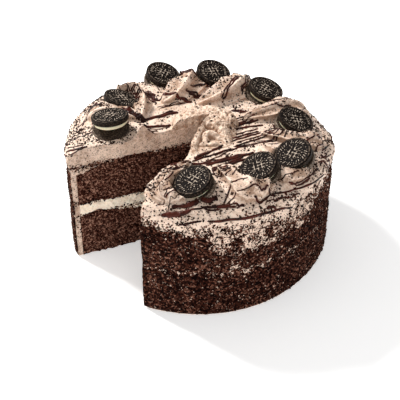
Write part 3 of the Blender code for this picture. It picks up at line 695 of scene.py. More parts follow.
def pressed_crumb_places(count, seed):
    """Places and sizes of the single crumbs, found by rays cast at the side from all round."""
    draw = np.random.default_rng(seed)
    azimuth = draw.uniform(SLICE_TO + 0.05, SLICE_FROM + 2 * math.pi - 0.01, count)
    height = draw.uniform(0.8, 97.0, count) * MM
    cover = crumb_cover(azimuth, height)
    over_skin = height > round_the_cake(CRUMB_REACH, azimuth) * (SKIN_TOP - 1.0 * MM)
    likely = np.where(over_skin, 1.5 * cover + 0.05, np.clip(0.15 + 0.20 * cover, 0.0, 0.34))
    keep = draw.uniform(0.0, 1.0, count) < likely
    azimuth, height = azimuth[keep], height[keep]
    size = draw.gamma(9.0, 0.065, keep.sum()).clip(0.3, 1.1) * MM * np.where(over_skin, 1.15, 1.0)[keep]
    places, _ = cast([skin, icing], polar(RAYS_FROM, azimuth, height), -polar(1.0, azimuth))
    on_cake = np.hypot(places[:, 0], places[:, 1]) > 95.0 * MM
    return places[on_cake], size[on_cake]


crumbs = crumb_finish("cake_crumbs", thinning=False, lighter=0.06)
places, sizes = pressed_crumb_places(PRESSED_CRUMBS, seed=60)
pressed_crumbs = scattered_crumbs("pressed_crumbs", places, sizes, seed=70)
pressed_crumbs.data.materials.append(crumbs)
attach(pressed_crumbs, "root")


# The piped shells: nine swirls of the same cream round the rim, each squeezed from a wide star
# nozzle, drawn inwards and pulled off to a tail.  The cookies were pressed into them afterwards.
SHELLS = (   # outer end, bend, tail, width, height, twist, lobes
    ((-88, 14), (-67, 21), (-43, 6), 27, 9, 0.25, 3),
    ((-66, 50), (-40, 36), (-46, 3), 24, 11.5, 0.30, 3),
    ((-10, 79), (-11, 48), (-29, 29), 34, 12, -0.45, 3),
    ((40, 74), (26, 48), (-1, 30), 34, 13.0, -0.30, 3),
    ((87, 34), (62, 22), (34, 9), 30, 10.5, -0.25, 4),
    ((95, -21), (74, -19), (46, -10), 28, 8.5, 0.25, 4),
    ((83, -66), (63, -60), (45, -28), 38, 8.0, 0.30, 3),
    ((47, -88), (35, -79), (14, -55), 38, 10.5, 0.35, 4),
    ((-22, -94), (-23, -77), (-9, -47), 34, 8.0, 0.25, 5))
SHELLS_BEND_AT = 89.0   # radius in mm beyond which they are held in, and how far beyond it they reach
SHELLS_OVERHANG = 9.5
COOKIES = (   # middle in mm, lean, towards, opening in degrees
    ((-66, -7.6, 105.9), 3, 250, 12.5), ((-61.8, 30.6, 100.6), 20, 22, 0), ((-30.3, 71.2, 99), 19, 333, 0),
    ((10.8, 75.4, 98.4), 18, 325, 0), ((51.8, 47.4, 99.8), 18, 344, 0), ((71.9, 1, 101.4), 22, 344, 0),
    ((69.2, -43.8, 102.8), 25, 212, 0), ((43.6, -59.4, 102.2), 23, 203, 0), ((-3, -76, 102.6), 21, 209, 0))
COOKIE_RADIUS = 14.1 * MM
COOKIE_HALF = 5.7 * MM
Z_AXIS = np.array((0.0, 0.0, 1.0))


def turn_about(axis, angle):
    """Rotation matrix about an axis."""
    cross = np.array(((0, -axis[2], axis[1]), (axis[2], 0, -axis[0]), (-axis[1], axis[0], 0)))
    return np.eye(3) + math.sin(angle) * cross + (1 - math.cos(angle)) * cross @ cross


def lean_turn(lean, towards, spin=0.0):
    """Turn of something whose Z leans by so many degrees towards an azimuth."""
    lean, towards = math.radians(lean), math.radians(towards)
    axis = np.array((-math.sin(towards), math.cos(towards), 0.0))
    return turn_about(axis, lean) @ turn_about(Z_AXIS, spin)


def pressed(points):
    """Cream pressed down by the cookies: what lay where a cookie is now ends below its base."""
    for middle, lean, towards, _ in COOKIES:
        turn, middle = lean_turn(lean, towards), np.array(middle) * MM
        local = (points - middle) @ turn
        away = np.hypot(local[..., 0], local[..., 1])
        inside = smooth(unit((COOKIE_RADIUS + 1.1 * MM - away) / (1.0 * MM)))
        lowest = -COOKIE_HALF - 0.4 * MM
        z = local[..., 2]
        local[..., 2] = np.where(z > lowest, z * (1 - inside) + lowest * inside, z)
        points = local @ turn.T + middle
    return points


def piped_shell(name, outer, bend, tail, width, height, twist, lobes, seed):
    """An arch carried along a bent line: wide near its outer end and thin at its tail.

    u runs along the line and v over the arch.  The star nozzle's sharp ridges run along it, the
    arch leans with the twist, and its feet reach just under the cap.  An attribute of painted
    shade darkens the broad furrows between the ridges and the underside.
    """
    rows, over, under = 118, 128, 6
    u = np.linspace(0.0, 1.0, rows)[:, None]
    v = np.linspace(0.0, math.pi, over)
    swell = 0.28
    blunt = np.sqrt(unit(1.0 - ((swell - u) / swell) ** 2))
    taper = 1.0 - 0.74 * unit((u - swell) / (1.0 - swell)) ** 1.5
    ending = np.sqrt(unit(1.0 - (np.clip(u - 0.90, 0.0, None) / 0.10) ** 2))
    body = np.where(u < swell, blunt, taper) * ending
    outer, bend, tail = np.array((outer, bend, tail), dtype=float)
    line = (1 - u) ** 2 * outer + 2 * u * (1 - u) * bend + u ** 2 * tail
    slope = 2 * (1 - u) * (bend - outer) + 2 * u * (tail - bend)
    slope /= np.linalg.norm(slope, axis=1, keepdims=True)
    side = np.stack((-slope[:, 1], slope[:, 0]), axis=-1)
    turned = v + twist * (u - 0.4) * np.sin(v)
    wander = 0.35 * np.sin(4.0 * u + seed) + 1.2 * twist * u
    crest = (1.0 - np.abs(np.sin(lobes * v + wander))) ** 1.25
    where = xyz(u * 60, v * 14, seed * 9.0) * MM
    lumps = grain(where, 8 * MM, 80 + seed, layers=3)
    torn = grain(where * (0.5, 1.6, 1.0), 2.2 * MM, 180 + seed, layers=2)
    ridge = 0.78 + 0.26 * crest + 0.07 * lumps + 0.024 * torn
    across = 0.5 * width * body * np.cos(turned) * ridge
    up = height * body ** 0.7 * np.sin(turned) * ridge
    place = line[:, None, :] + side[:, None, :] * across[..., None]
    radius = np.hypot(place[..., 0], place[..., 1])
    beyond = np.clip(radius - SHELLS_BEND_AT, 0.0, None) / SHELLS_OVERHANG
    kept = np.minimum(radius, SHELLS_BEND_AT) + SHELLS_OVERHANG * (1.0 - np.exp(-beyond))
    x, y = np.moveaxis(place * (kept / radius)[..., None] * MM, -1, 0)
    arch = drawn_back(pressed(xyz(x, y, cap_level(x, y) + up * MM)))
    share = np.linspace(0.0, 1.0, under + 2)[1:-1][:, None]
    below = arch[:, -1:, :] * (1 - share) + arch[:, :1, :] * share
    below[..., 2] -= 1.6 * MM * unit(4 * body) * np.sin(np.pi * share[:, 0]) ** 0.3
    shell = object_from_grid(name, np.concatenate((arch, below), axis=1), wrapped=True)
    # Painted shade: dark in the furrows between the ridges, and fully dark on the hidden underside.
    hollow = unit(0.85 - 1.3 * crest - 0.5 * lumps) * unit(3.0 * body)
    give_values(shell, "hollow", np.concatenate((hollow, np.ones((rows, under))), axis=1))
    outwards(shell)
    return shell


shell_cream = cream_finish("piped_cream", CREAM, (166, 134, 112), GROUND_COOKIE, speck_share=0.36)
shells = []
for number, spec in enumerate(SHELLS, start=1):
    shell = piped_shell(f"piped_shell_{number}", *spec, seed=number)
    shell.data.materials.append(shell_cream)
    shells.append(shell)
    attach(shell, "root")
    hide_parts(f"shell_{number}")


# The dollop: a spoonful of cream in the middle, cut through on the slice's side.  It has a flat
# top, a lip that falls along the cut and a curl of folded cream on the near side.
# By direction in degrees: how far out its foot and its flat top reach in mm.
DOLLOP_FOOT = ((0, 26.5), (30, 26), (60, 22), (90, 20.5), (120, 19.5), (150, 20.5), (180, 23.5), (200, 25),
               (225, 31), (250, 38.5), (262, 37.5), (275, 36.5), (290, 35), (303, 35), (318, 29.5),
               (338, 27), (360, 26.5))
DOLLOP_PLATEAU = ((0, 23), (40, 22.5), (90, 18), (130, 17), (180, 21), (205, 23), (228, 9), (250, 5),
                  (290, 6), (315, 10), (335, 18), (360, 23))
DOLLOP_FOLDS = (   # lines in mm, their thickness at the start and at the end
    (((3.5, -3, 105.6), (0.5, -12, 104.2), (-3.5, -22, 102.4), (-5, -30, 100.8), (-4.5, -34.5, 99.4)),
     3.4, 3),
    (((12, -4, 103.6), (17, -9, 103), (19.5, -15, 101.6), (20.5, -20, 100), (21.5, -25, 98.6)), 5.4, 4.2),
    (((5, -23, 101.8), (4.6, -17.5, 103.4), (8, -15.8, 104), (12, -17.5, 103.4), (15.5, -20.5, 101.6)),
     2.7, 2.2),
    (((0.5, -27.5, 100.8), (6, -26.4, 101.4), (12, -26.6, 101.2), (20.5, -25.5, 100.2)), 2.2, 2.2),
    (((-3, -33.5, 100), (4, -34, 100.4), (12, -32.3, 100.4), (19, -29, 100.6), (23, -25, 100.6)), 2.3, 2.1))
DOLLOP_MIDDLE = 3.0   # its x in mm
DOLLOP_CREASES = (   # lines in mm, depth
    (((5.5, -23.5), (10, -22.6), (14, -23.4), (19, -24.6)), 4.4),
    (((-0.5, -30.4), (5, -30.6), (10, -30.0), (17, -28.6)), 3.4),
    (((3.0, -8.0), (6, -10.5), (9, -11.5), (12, -13.0)), 3.0))


def fold_level(x, y, line, start, end):
    """Height over a place of a round bar along a line of points, falling steeply beside it."""
    line = np.array(line, dtype=float)
    known = np.linspace(0.0, 1.0, len(line))
    t = np.linspace(0.0, 1.0, 26)
    points = np.stack([np.polyval(np.polyfit(known, line[:, axis], 3), t) for axis in range(3)], axis=-1)
    best = np.full(x.shape, -1e9)
    for share, (px, py, pz) in zip(t, points):
        thick = start + (end - start) * share
        away = np.hypot(x - px, y - py)
        round_part = np.sqrt(np.clip(thick ** 2 - np.minimum(away, thick) ** 2, 0.0, None))
        best = np.maximum(best, pz + round_part - 2.6 * np.clip(away - 0.95 * thick, 0.0, None))
    return best


def dollop_level(x, y):
    """How far out a place is as a share of the foot, and the dollop's height there.

    The height is the smooth maximum of the flat top, the folds and a low apron under them, less
    the creases.
    """
    x, y = x / MM, y / MM
    azimuth = np.arctan2(y, x - DOLLOP_MIDDLE)
    out = np.hypot(x - DOLLOP_MIDDLE, y)
    foot = round_the_cake(DOLLOP_FOOT, azimuth) + 0.8 * np.sin(7 * azimuth) + 0.5 * np.sin(13 * azimuth + 1)
    share = out / foot
    where = xyz(x, y)
    lumps = grain(where, 7.0, 91, layers=2)
    rough = grain(where, 2.2, 92, layers=3)
    top_edge = round_the_cake(DOLLOP_PLATEAU, azimuth) + 1.2 * lumps
    beyond = np.clip(out - top_edge, 0.0, None)
    plateau = 109.2 + 0.7 * lumps - 0.35 * beyond ** 1.6
    apron = np.clip(106.5 + 0.42 * (y + 7.0), 101.0, 108.0) + 0.6 * lumps
    levels = [plateau, apron] + [fold_level(x + 0.5 * lumps, y, *fold) for fold in DOLLOP_FOLDS]
    sharp = 2.2
    height = np.log(sum(np.exp(sharp * (level - 100.0)) for level in levels)) / sharp + 100.0
    for crease, depth in DOLLOP_CREASES:
        crease = np.array(crease)
        line = np.interp(x, crease[:, 0], crease[:, 1])
        within = unit((x - crease[0, 0]) / 2.0) * unit((crease[-1, 0] - x) / 2.5)
        height = height - depth * within * np.exp(-((y - line - 0.5 * lumps) / 1.0) ** 2)
    near_foot = np.sqrt(unit(1.0 - share ** 6))
    ground = cap_level(x * MM, y * MM) / MM
    height = ground + np.clip(height + 0.9 * rough - ground, 0.3, None) * near_foot
    return share, height * MM


def eased(rows, times):
    """Rows of points with each point moved towards the middle of its neighbours so many times."""
    for _ in range(times):
        middle = (rows[:, :-2] + 2 * rows[:, 1:-1] + rows[:, 2:]) / 4
        rows = np.concatenate((rows[:, :1], middle, rows[:, -1:]), axis=1)
    return rows


def mound():
    """A fan of ways from the slice's point to the mound's foot, from one cut face to the other.

    An attribute of painted shade is high where the top lies under its own eased height, and where
    it falls steeply outwards.
    """
    turns, outs, deep = 270, 100, 24
    directions = fan(turns)
    ways = np.linspace(0.0, 60 * MM, 500)
    inside = dollop_level(*from_point(directions, ways))[0] < 0.998
    last = ways[inside.shape[1] - 1 - np.argmax(inside[:, ::-1], axis=1)]
    way = last[:, None] * np.linspace(0.0, 1.0, outs)
    x, y = from_point(directions, way)
    top = dollop_level(x, y)[1]
    even = eased(eased(top, 14).T, 10).T
    # Painted shade: dark in the dips and on the steep outward slopes.
    hollow = unit((even - top) / (0.45 * MM) + 0.05)
    rise = (top - np.roll(top, 1, axis=1)) / np.maximum(np.abs(way[:, 1:2] - way[:, :1]), 1e-6)
    hollow = np.clip(hollow + 0.5 * unit(-rise - 0.2), 0.0, 1.3)
    low = np.minimum(cap_level(x, y) - 1.0 * MM, top - 0.2 * MM)
    z = low[..., None] + (top - low)[..., None] * np.linspace(0.0, 1.0, deep)
    points = drawn_back(xyz(x[..., None], y[..., None], z))
    hollow = np.broadcast_to(hollow[..., None], z.shape)
    return block("cream_dollop", points, tear=0.60 * MM, tear_size=2.6 * MM, seed=93, hollow=hollow)


dollop = mound()
dollop.data.materials.append(
    cream_finish("dollop_cream", (234, 209, 188), (158, 123, 99), (64, 34, 23), speck_share=0.36))
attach(dollop, "root")
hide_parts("dollop")


# Crumbs left on the cut faces by the knife: sponge dragged loose, thickest along the lines where
# sponge meets cream and thinly smeared over the cap's cut face.
RAY_GAP = 12 * MM   # how far off the face the rays start
CUT_CRUMBS = 3600   # on each face


def cut_crumb_places(azimuth, side, count, seed):
    """Places on one cut face, found by rays cast at it from inside the gap."""
    draw = np.random.default_rng(seed)
    way = draw.uniform(3.0, 112.0, count) * MM
    edges = draw.choice((39.0, 51.0, 84.0, 85.5), count) + draw.normal(0, 1.2, count)
    everywhere = np.where(
        draw.uniform(0.0, 1.0, count) < 0.5, draw.uniform(1.0, 38.0, count), draw.uniform(52.0, 86.0, count))
    smeared = 84.0 + 18.0 * draw.uniform(0.0, 1.0, count) ** 1.6
    kind = draw.uniform(0.0, 1.0, count)
    height = np.where(kind < 0.55, edges, np.where(kind < 0.94, everywhere, smeared)) * MM
    height = height[height < 110 * MM]
    way = way[:len(height)]
    away = side * np.array((-math.sin(azimuth), math.cos(azimuth), 0.0))
    x = SLICE_POINT[0] + math.cos(azimuth) * way
    y = SLICE_POINT[1] + math.sin(azimuth) * way
    starts = xyz(x, y, height) + RAY_GAP * away
    found, _ = cast([*sponges, filling_layer, icing], starts, -away)
    length = np.linalg.norm(found - starts, axis=1)
    return found[np.abs(length - RAY_GAP) < 3 * MM]


places = np.concatenate([cut_crumb_places(azimuth, side, CUT_CRUMBS, seed)
                         for azimuth, side, seed in ((SLICE_FROM, 1.0, 76), (SLICE_TO, -1.0, 77))])
sizes = np.random.default_rng(78).gamma(5.0, 0.11, len(places)).clip(0.25, 1.2) * MM
sizes = sizes * np.where(places[:, 2] > 88 * MM, 0.55, 1.0)
cut_crumbs = scattered_crumbs("cut_crumbs", places, sizes, seed=79)
cut_crumbs.data.materials.append(crumbs)
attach(cut_crumbs, "root")


# The cookies: nine small cocoa sandwich cookies pressed at a slant into the cream round the rim.
# Each has two cocoa wafers, the upper one embossed, round a cream disc; the first has sprung open.
def wafer(embossed):
    """A wafer by rings and angles: embossed face, notched edge, flat inner face.

    The emboss is a raised rim, a band of slanted ridges, a ring of dots, a thin circle and a
    small lattice in the middle, all a little chipped.  A plain wafer is only rough.  The height
    is kept in the attribute 'relief' for the finish; the edge and back get set levels in its
    place, and a plain wafer's are raised so that the finish paints them lighter: painted light.
    """
    rings, around = (60, 216) if embossed else (14, 72)
    share = np.linspace(0.0, 1.0, rings)[:, None]
    angle = np.linspace(0.0, 2 * math.pi, around, endpoint=False)
    x = share * np.cos(angle)
    y = share * np.sin(angle)

    def soft(value, low, high):
        return smooth(unit((value - low) / (high - low)))

    if embossed:
        rim = 0.7 * soft(share, 0.85, 0.88) * (1 - soft(share, 0.95, 0.99))
        band = soft(share, 0.60, 0.63) * (1 - soft(share, 0.80, 0.83))
        ridges = band * soft(np.sin(32 * angle + 20 * share), 0.0, 0.5)
        dots = soft(np.cos(18 * angle) - ((share - 0.51) / 0.055) ** 2, 0.0, 0.6)
        lattice = np.maximum(soft(np.cos(22 * (x + y)), 0.4, 0.9), soft(np.cos(22 * (x - y)), 0.4, 0.9))
        lattice = lattice * (1 - soft(share, 0.37, 0.40))
        circle = soft(share, 0.40, 0.415) * (1 - soft(share, 0.43, 0.445))
        relief = unit(np.maximum.reduce(np.broadcast_arrays(rim, ridges, dots, lattice, circle)))
        chipped = grain(xyz(14 * x, 14 * y), 1.3, 82, layers=2)
        relief = relief * (0.35 + 0.65 * soft(chipped, -0.6, 0.1))
        side_height, back_height = 0.5, 0.0
    else:
        relief = 0.3 + 0.5 * soft(grain(xyz(14 * x, 14 * y), 1.6, 81), -0.3, 0.6)
        # Painted light: a plain wafer's edge and back are set high, so they show lighter where they lie in
        # shade.
        side_height, back_height = 0.75, 0.6
    thick, radius = 3.9, COOKIE_RADIUS / MM
    notch = 1.0 - 0.012 * (0.5 + 0.5 * np.cos(48 * angle))
    narrower = radius * (1 - 0.02 * share)
    top = xyz(narrower * x, narrower * y, thick - 0.45 + 0.45 * relief - 0.5 * soft(share, 0.95, 1.0))
    edge_z = np.array((3.3, 2.7, 2.0, 1.2, 0.5, 0.0))[:, None]
    edge_radius = radius * notch * np.array((0.992, 1.0, 1.0, 1.0, 0.998, 0.985))[:, None]
    edge = polar(edge_radius, angle, edge_z)
    back = polar(radius * np.linspace(0.93, 0.0, 6)[:, None], angle)
    heights = [relief] + [np.full(part.shape[:2], height) for part, height in (
        (edge, side_height), (back, back_height))]
    return np.concatenate((top, edge, back)) * MM, np.concatenate(heights)


def wafer_finish():
    """Near black cocoa with dry grain; raised parts lighter (cocoa dust and painted highlight), sunk parts
    painted shade.
    """
    material, shader, place = new_finish("cocoa_wafer", 0.55, Specular_IOR_Level=0.06)
    fine = noise(place, 900.0, 4.0, 0.7)
    # Painted light: raised parts lighter, partly as cocoa dust and partly as painted highlight; sunk parts
    # darker as painted shade.
    dust_highlight_and_shade = (held_value(place, "relief") * 1.15 + fine * 1.5 - 0.95).clamped()
    feed(shader, "Base Color", ramp(
        dust_highlight_and_shade, (0.0, (10, 5, 3)), (0.38, (27, 19, 15)), (0.68, (88, 74, 62)), (1.0, (200, 184, 168))))
    feed(shader, "Normal", bump(fine, 1.0, 0.5 * MM))
    return material


def vanilla_finish():
    """Firm vanilla cream, matt and slightly yellow."""
    material, shader, place = new_finish(
        "vanilla_cream", 0.6, Subsurface_Weight=0.1, Subsurface_Scale=1.0 * MM)
    fine = noise(place, 400.0, 3.0)
    feed(shader, "Base Color", blend(fine, (212, 204, 170), (238, 230, 200)))
    feed(shader, "Normal", bump(fine, 0.3, 0.3 * MM))
    return material


def cream_disc(grown):
    """A disc of cream with a rounded edge that bulges a little."""
    angle = np.linspace(0.0, 2 * math.pi, 96, endpoint=False)
    radius = np.array((0.0, 4, 8, 11, 12, 12.5, 12.7, 12.5, 12, 11, 8, 4, 0))[:, None]
    height = np.array((1.5, 1.5, 1.5, 1.5, 1.35, 0.8, 0, -0.8, -1.35, -1.5, -1.5, -1.5, -1.5))[:, None]
    wobble = grown * (1.0 + 0.012 * np.sin(3 * angle) + 0.008 * np.sin(7 * angle + 1))
    return polar(radius * wobble, angle, height) * MM


cocoa = wafer_finish()
vanilla = vanilla_finish()
HALF_CREAM = 1.8 * MM
face_up, face_relief = wafer(embossed=True)
plain_up, plain_relief = wafer(embossed=False)
for number, (middle, lean, towards, opening) in enumerate(COOKIES, start=1):
    turn, place = lean_turn(lean, towards, 0.7 * number), np.array(middle) * MM
    upper_turn, upper_place = turn, place
    down = plain_up * (1, -1, -1)
    if opening:
        away = turn.T @ np.array((-0.3, 1.0, 0.0))
        spread = turn_about(Z_AXIS, math.atan2(away[1], away[0]))
        hinge = np.array((COOKIE_RADIUS, 0.0, -HALF_CREAM))
        swing = turn_about(np.array((0, 1.0, 0)), math.radians(opening))
        upper_turn = turn @ spread @ swing
        upper_place = place + turn @ spread @ (hinge - swing @ hinge)
        down = down @ turn_about(np.array((1.0, 0, 0)), math.radians(-4.0)) - 0.8 * MM * Z_AXIS
    for part, points, turned, put, finish, relief, node, slot in (
        ("lower_wafer", down - HALF_CREAM * Z_AXIS, turn, place, cocoa, plain_relief, "base", "cocoa_wafer"),
        ("cream_disc", cream_disc(1.0 if opening else 0.94), upper_turn, upper_place, vanilla, None,
         "cream", "cookie_filling"),
        ("upper_wafer", face_up + HALF_CREAM * Z_AXIS, upper_turn, upper_place, cocoa, face_relief,
         "top", "cocoa_wafer"),
    ):
        made = object_from_grid(f"cookie_{number}_{part}", points @ turned.T + put, wrapped=True)
        if relief is not None:
            give_values(made, "relief", relief)
        outwards(made)
        made.data.materials.append(finish)
        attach(made, "root")
        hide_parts(f"cookie_{number}_{node}")


# The chocolate drizzle: thin dark chocolate flicked back and forth over the cream from a spoon.
# The runs lie nearly parallel in bundles, sink a little into the cream and taper off at their ends.
DRIZZLE = (   # x, y of both ends, how many runs, the bundle's width at each end, half width, wave; in mm
    (-44, 5, -16, 17, 1, 0, 0, 1.6, 0.3), (-36, 9, -17, 20, 2, 3, 2.5, 0.6, 0.3),
    (-40, -5, -21, 0, 1, 0, 0, 1.3, 0.2), (-38, -8, -22, -3, 1, 0, 0, 0.5, 0.3),
    (-39, -12, -31, -9, 1, 0, 0, 0.6, 0.3), (-35, -22, -23, -14, 1, 0, 0, 0.6, 1.8),
    (-43, -11, -40, -15, 1, 0, 0, 2.1, 0.3), (-33, 35, -6, 35, 2, 3.5, 3, 1.1, 0.4),
    (-31, 24, -11, 32, 2, 3, 4, 0.6, 0.3), (-50, 8, -42, 4, 2, 4, 2, 1, 0.5),
    (28, 5, 41, 11, 4, 13, 11, 0.65, 0.2), (28, 1, 42, 7, 1, 0, 0, 1.5, 0.2),
    (26, -5, 49, 2, 1, 0, 0, 1.3, 0.2), (24, -22, 48, -9, 5, 15, 16, 0.85, 0.12),
    (25, -29, 58, -19, 1, 0, 0, 0.7, 0.4), (17, -35, 54, -20, 1, 0, 0, 0.6, 0.4),
    (24, 23, 34, 21, 2, 3, 3, 1.4, 0.4), (-4, -44, 19, -27, 1, 0, 0, 1.4, 0.3),
    (-5, -48, 24, -32, 1, 0, 0, 1.2, 0.3), (4, -49, 33, -27, 1, 0, 0, 0.6, 0.3),
    (4, -52, 38, -37, 2, 3, 2, 1, 0.3), (6, -49, 32, -39, 2, 3, 3, 0.9, 0.3),
    (10, -58, 32, -44, 2, 4, 3, 1.1, 0.4), (-9, -52, 11, -48, 2, 3, 2, 0.8, 0.4),
    (-20, -55, -4, -51, 2, 3, 3, 0.6, 0.5), (14, -66, 24, -58, 4, 9, 6, 0.6, 1),
    (46, -24, 58, -20, 3, 9, 9, 0.5, 0.3), (50, -14, 60, -12, 3, 6, 6, 0.5, 0.4),
    (52, -6, 60, -10, 2, 3, 3, 0.6, 0.4), (56, 4, 64, -2, 4, 6, 7, 0.5, 0.6),
    (-68, 54, -46, 40, 4, 10, 6, 0.5, 1.4), (-52, 46, -36, 40, 5, 11, 10, 0.45, 1.6),
    (-60, 36, -46, 40, 3, 6, 8, 0.5, 1.4), (-44, 44, -34, 34, 4, 9, 7, 0.7, 1.5),
    (-56, 14, -44, 4, 4, 4, 2, 0.9, 0.5), (-92, 6, -80, 26, 2, 5, 4, 0.5, 0.7),
    (-84, 20, -66, 26, 3, 5, 4, 0.6, 0.9), (-98, -14, -90, -11, 2, 3, 3, 0.4, 0.6),
    (-96, -32, -86, -30, 1, 0, 0, 0.6, 0.5), (-22, 74, -4, 66, 4, 8, 6, 1.3, 1.2),
    (-8, 42, 4, 44, 3, 5, 5, 0.9, 0.5), (-4, 52, 10, 62, 2, 3, 4, 0.7, 0.6),
    (18, 34, 31, 60, 2, 2, 5, 0.8, 0.3), (22, 76, 38, 80, 3, 6, 6, 0.7, 0.6),
    (33, 44, 41, 66, 2, 3, 4, 0.6, 0.5), (42, 24, 72, 40, 3, 6, 8, 0.5, 0.5),
    (44, 32, 47, 44, 2, 4, 4, 0.4, 0.5), (50, 18, 68, 22, 2, 3, 6, 0.6, 0.6),
    (60, 40, 84, 46, 3, 6, 8, 0.5, 1), (88, -16, 98, -10, 2, 6, 6, 0.45, 1.2),
    (90, -38, 98, -34, 2, 6, 5, 0.5, 1), (66, -17, 78, -12, 4, 7, 6, 0.4, 0.8),
    (88, -46, 96, -40, 3, 9, 9, 0.6, 1.4), (59, -79, 66, -78, 2, 1.5, 2, 1.2, 0.6),
    (38, -85, 53, -80, 1, 0, 0, 0.8, 1.5), (32, -72, 44, -70, 2, 5, 6, 0.4, 1),
    (-12, -98, 24, -91, 1, 0, 0, 0.7, 0.4), (26, -92, 32, -92, 2, 3, 3, 0.6, 0.6),
    (46, -87, 62, -80, 1, 0, 0, 0.5, 0.4), (60, -80, 72, -72, 1, 0, 0, 0.6, 0.4),
    (-32, -70, -18, -60, 3, 12, 8, 0.35, 1.6), (-30, -84, -20, -74, 2, 14, 10, 0.35, 1.6),
    (-26, -96, -14, -84, 2, 12, 8, 0.4, 1.4), (-20, -62, -6, -58, 2, 6, 5, 0.45, 0.8),
    (-10, -94, 0, -90, 1, 0, 0, 1.8, 0.6))
CURLS = (   # x and y of four places along each curved stroke, and its half width, in mm
    (18, -93, 22, -88, 29, -86, 39, -83, 0.6), (17, -92, 19, -86, 22, -79, 27, -77, 0.6),
    (22, -79, 26, -77, 29, -76, 34, -78, 0.45), (38, -88, 41, -87, 42, -89, 50, -80, 0.9),
    (-19, -95, -13, -94, -7, -94, -1, -91, 1.7), (-23, -98, -17, -99, -10, -99, -6, -97, 1.9),
    (-23, -91, -21, -89, -17, -88, -13, -84, 0.6), (-24, -65, -19, -65, -14, -62, -9, -57, 0.6),
    (5, -95, 10, -95, 16, -94, 26, -93, 0.9), (1, -88, 6, -90, 10, -88, 13, -87, 2),
    (52, -85, 54, -83, 57, -81, 60, -80, 0.7), (58, -68, 61, -67, 66, -65, 71, -60, 0.6),
    (63, -71, 66, -70, 72, -67, 80, -58, 0.7), (76, -29, 80, -25, 85, -22, 93, -10, 0.6),
    (85, -31, 88, -28, 90, -26, 93, -19, 0.7), (91, -27, 93, -24, 95, -20, 97, -16, 0.7),
    (89, -33, 91, -34, 94, -32, 97, -28, 0.6), (-99, -26, -93, -29, -87, -29, -82, -28, 1),
    (-98, -23, -93, -25, -88, -25, -85, -25, 0.6), (-97, -4, -93, -5, -89, -5, -85, -4, 0.45),
    (-87, -10, -84, -8, -82, -8, -79, -8, 0.8), (-24, -78, -22, -75, -20, -72, -18, -66, 0.5),
    (-25, -87, -22, -85, -19, -84, -17, -80, 0.45), (1, -94, 6, -97, 10, -97, 14, -96, 0.8),
    (47, -90, 49, -88, 51, -88, 54, -87, 1), (18, -70, 19, -68, 21, -66, 23, -65, 0.5),
    (23, -70, 26, -67, 28, -60, 30, -54, 0.5), (10, -56, 10, -62, 13, -66, 17, -67, 0.6),
    (51, -16, 54, -14, 56, -16, 55, -19, 0.6), (57, -20, 60, -18, 62, -16, 64, -15, 0.6),
    (63, -22, 64, -18, 66, -15, 68, -9, 0.5))
RIM_RUNS = (   # azimuth in degrees and height in mm at four places, half width in mm
    (273, 90.5, 286, 90, 299, 89, 304, 88, 1.15), (300, 89, 304, 88, 307, 86, 311, 83, 0.9),
    (303, 97, 313, 95, 323, 92, 334, 88.5, 0.75), (312, 99, 318, 96.5, 325, 95.5, 332, 95, 0.6),
    (262, 88, 265, 88.5, 268, 90, 271, 90.5, 0.9), (255, 92.5, 258, 93.5, 261, 94.5, 264, 95.5, 1.4))


ALONG_RUN = np.linspace(0.0, 1.0, 56)
FEWEST_LANDED = 12   # a run of which no more points meet the cream is left out


def on_cream(found, normals):
    """Where a run hangs out over the edge, its points are drawn back to its last one on the cream."""
    hit = found[..., 2] < RAYS_FROM - MM
    first = np.argmax(hit, axis=1)[:, None]
    last = np.maximum.accumulate(np.where(hit, np.arange(found.shape[1]), 0), axis=1)
    last = np.maximum(last, first)[..., None]
    return np.take_along_axis(found, last, axis=1), np.take_along_axis(normals, last, axis=1)


def strands(name, middles, normals, widths, around=8):
    """Closed runs with a flattened round section: width across, 0.55 of it up, pointed ends."""
    runs, steps = middles.shape[:2]
    along = np.gradient(middles, axis=1)
    along /= np.linalg.norm(along, axis=-1, keepdims=True).clip(1e-9)
    across = np.cross(normals, along)
    across /= np.linalg.norm(across, axis=-1, keepdims=True).clip(1e-9)
    turn = np.linspace(0.0, 2 * math.pi, around, endpoint=False)[:, None]
    ring = across[:, :, None, :] * np.cos(turn) + 0.55 * normals[:, :, None, :] * np.sin(turn)
    middles = middles + 0.25 * normals * widths[..., None]
    points = middles[:, :, None, :] + ring * widths[:, :, None, None]
    number = np.arange(runs * steps * around).reshape(runs, steps, around)
    made = object_from_faces(
        name, points.reshape(-1, 3), cells(np.concatenate((number, number[:, :, :1]), axis=2)))
    outwards(made)
    return made


def run_widths(draw, half):
    """Half widths along runs: random swellings, and ends that close over a twentieth of the run."""
    swells = draw.uniform(0.78, 1.22, (len(half), 14))
    swell = np.stack([np.interp(ALONG_RUN, np.linspace(0.0, 1.0, 14), row) for row in swells])
    ends = np.sqrt(unit(np.minimum(ALONG_RUN, 1 - ALONG_RUN) / 0.05))
    return np.array(half)[:, None] * MM * swell * ends


def through(places):
    """Points along straight lines through four places given as one flat row of eight numbers."""
    return np.stack([np.interp(3 * ALONG_RUN, range(4), places[axis::2]) for axis in (0, 1)], axis=-1)


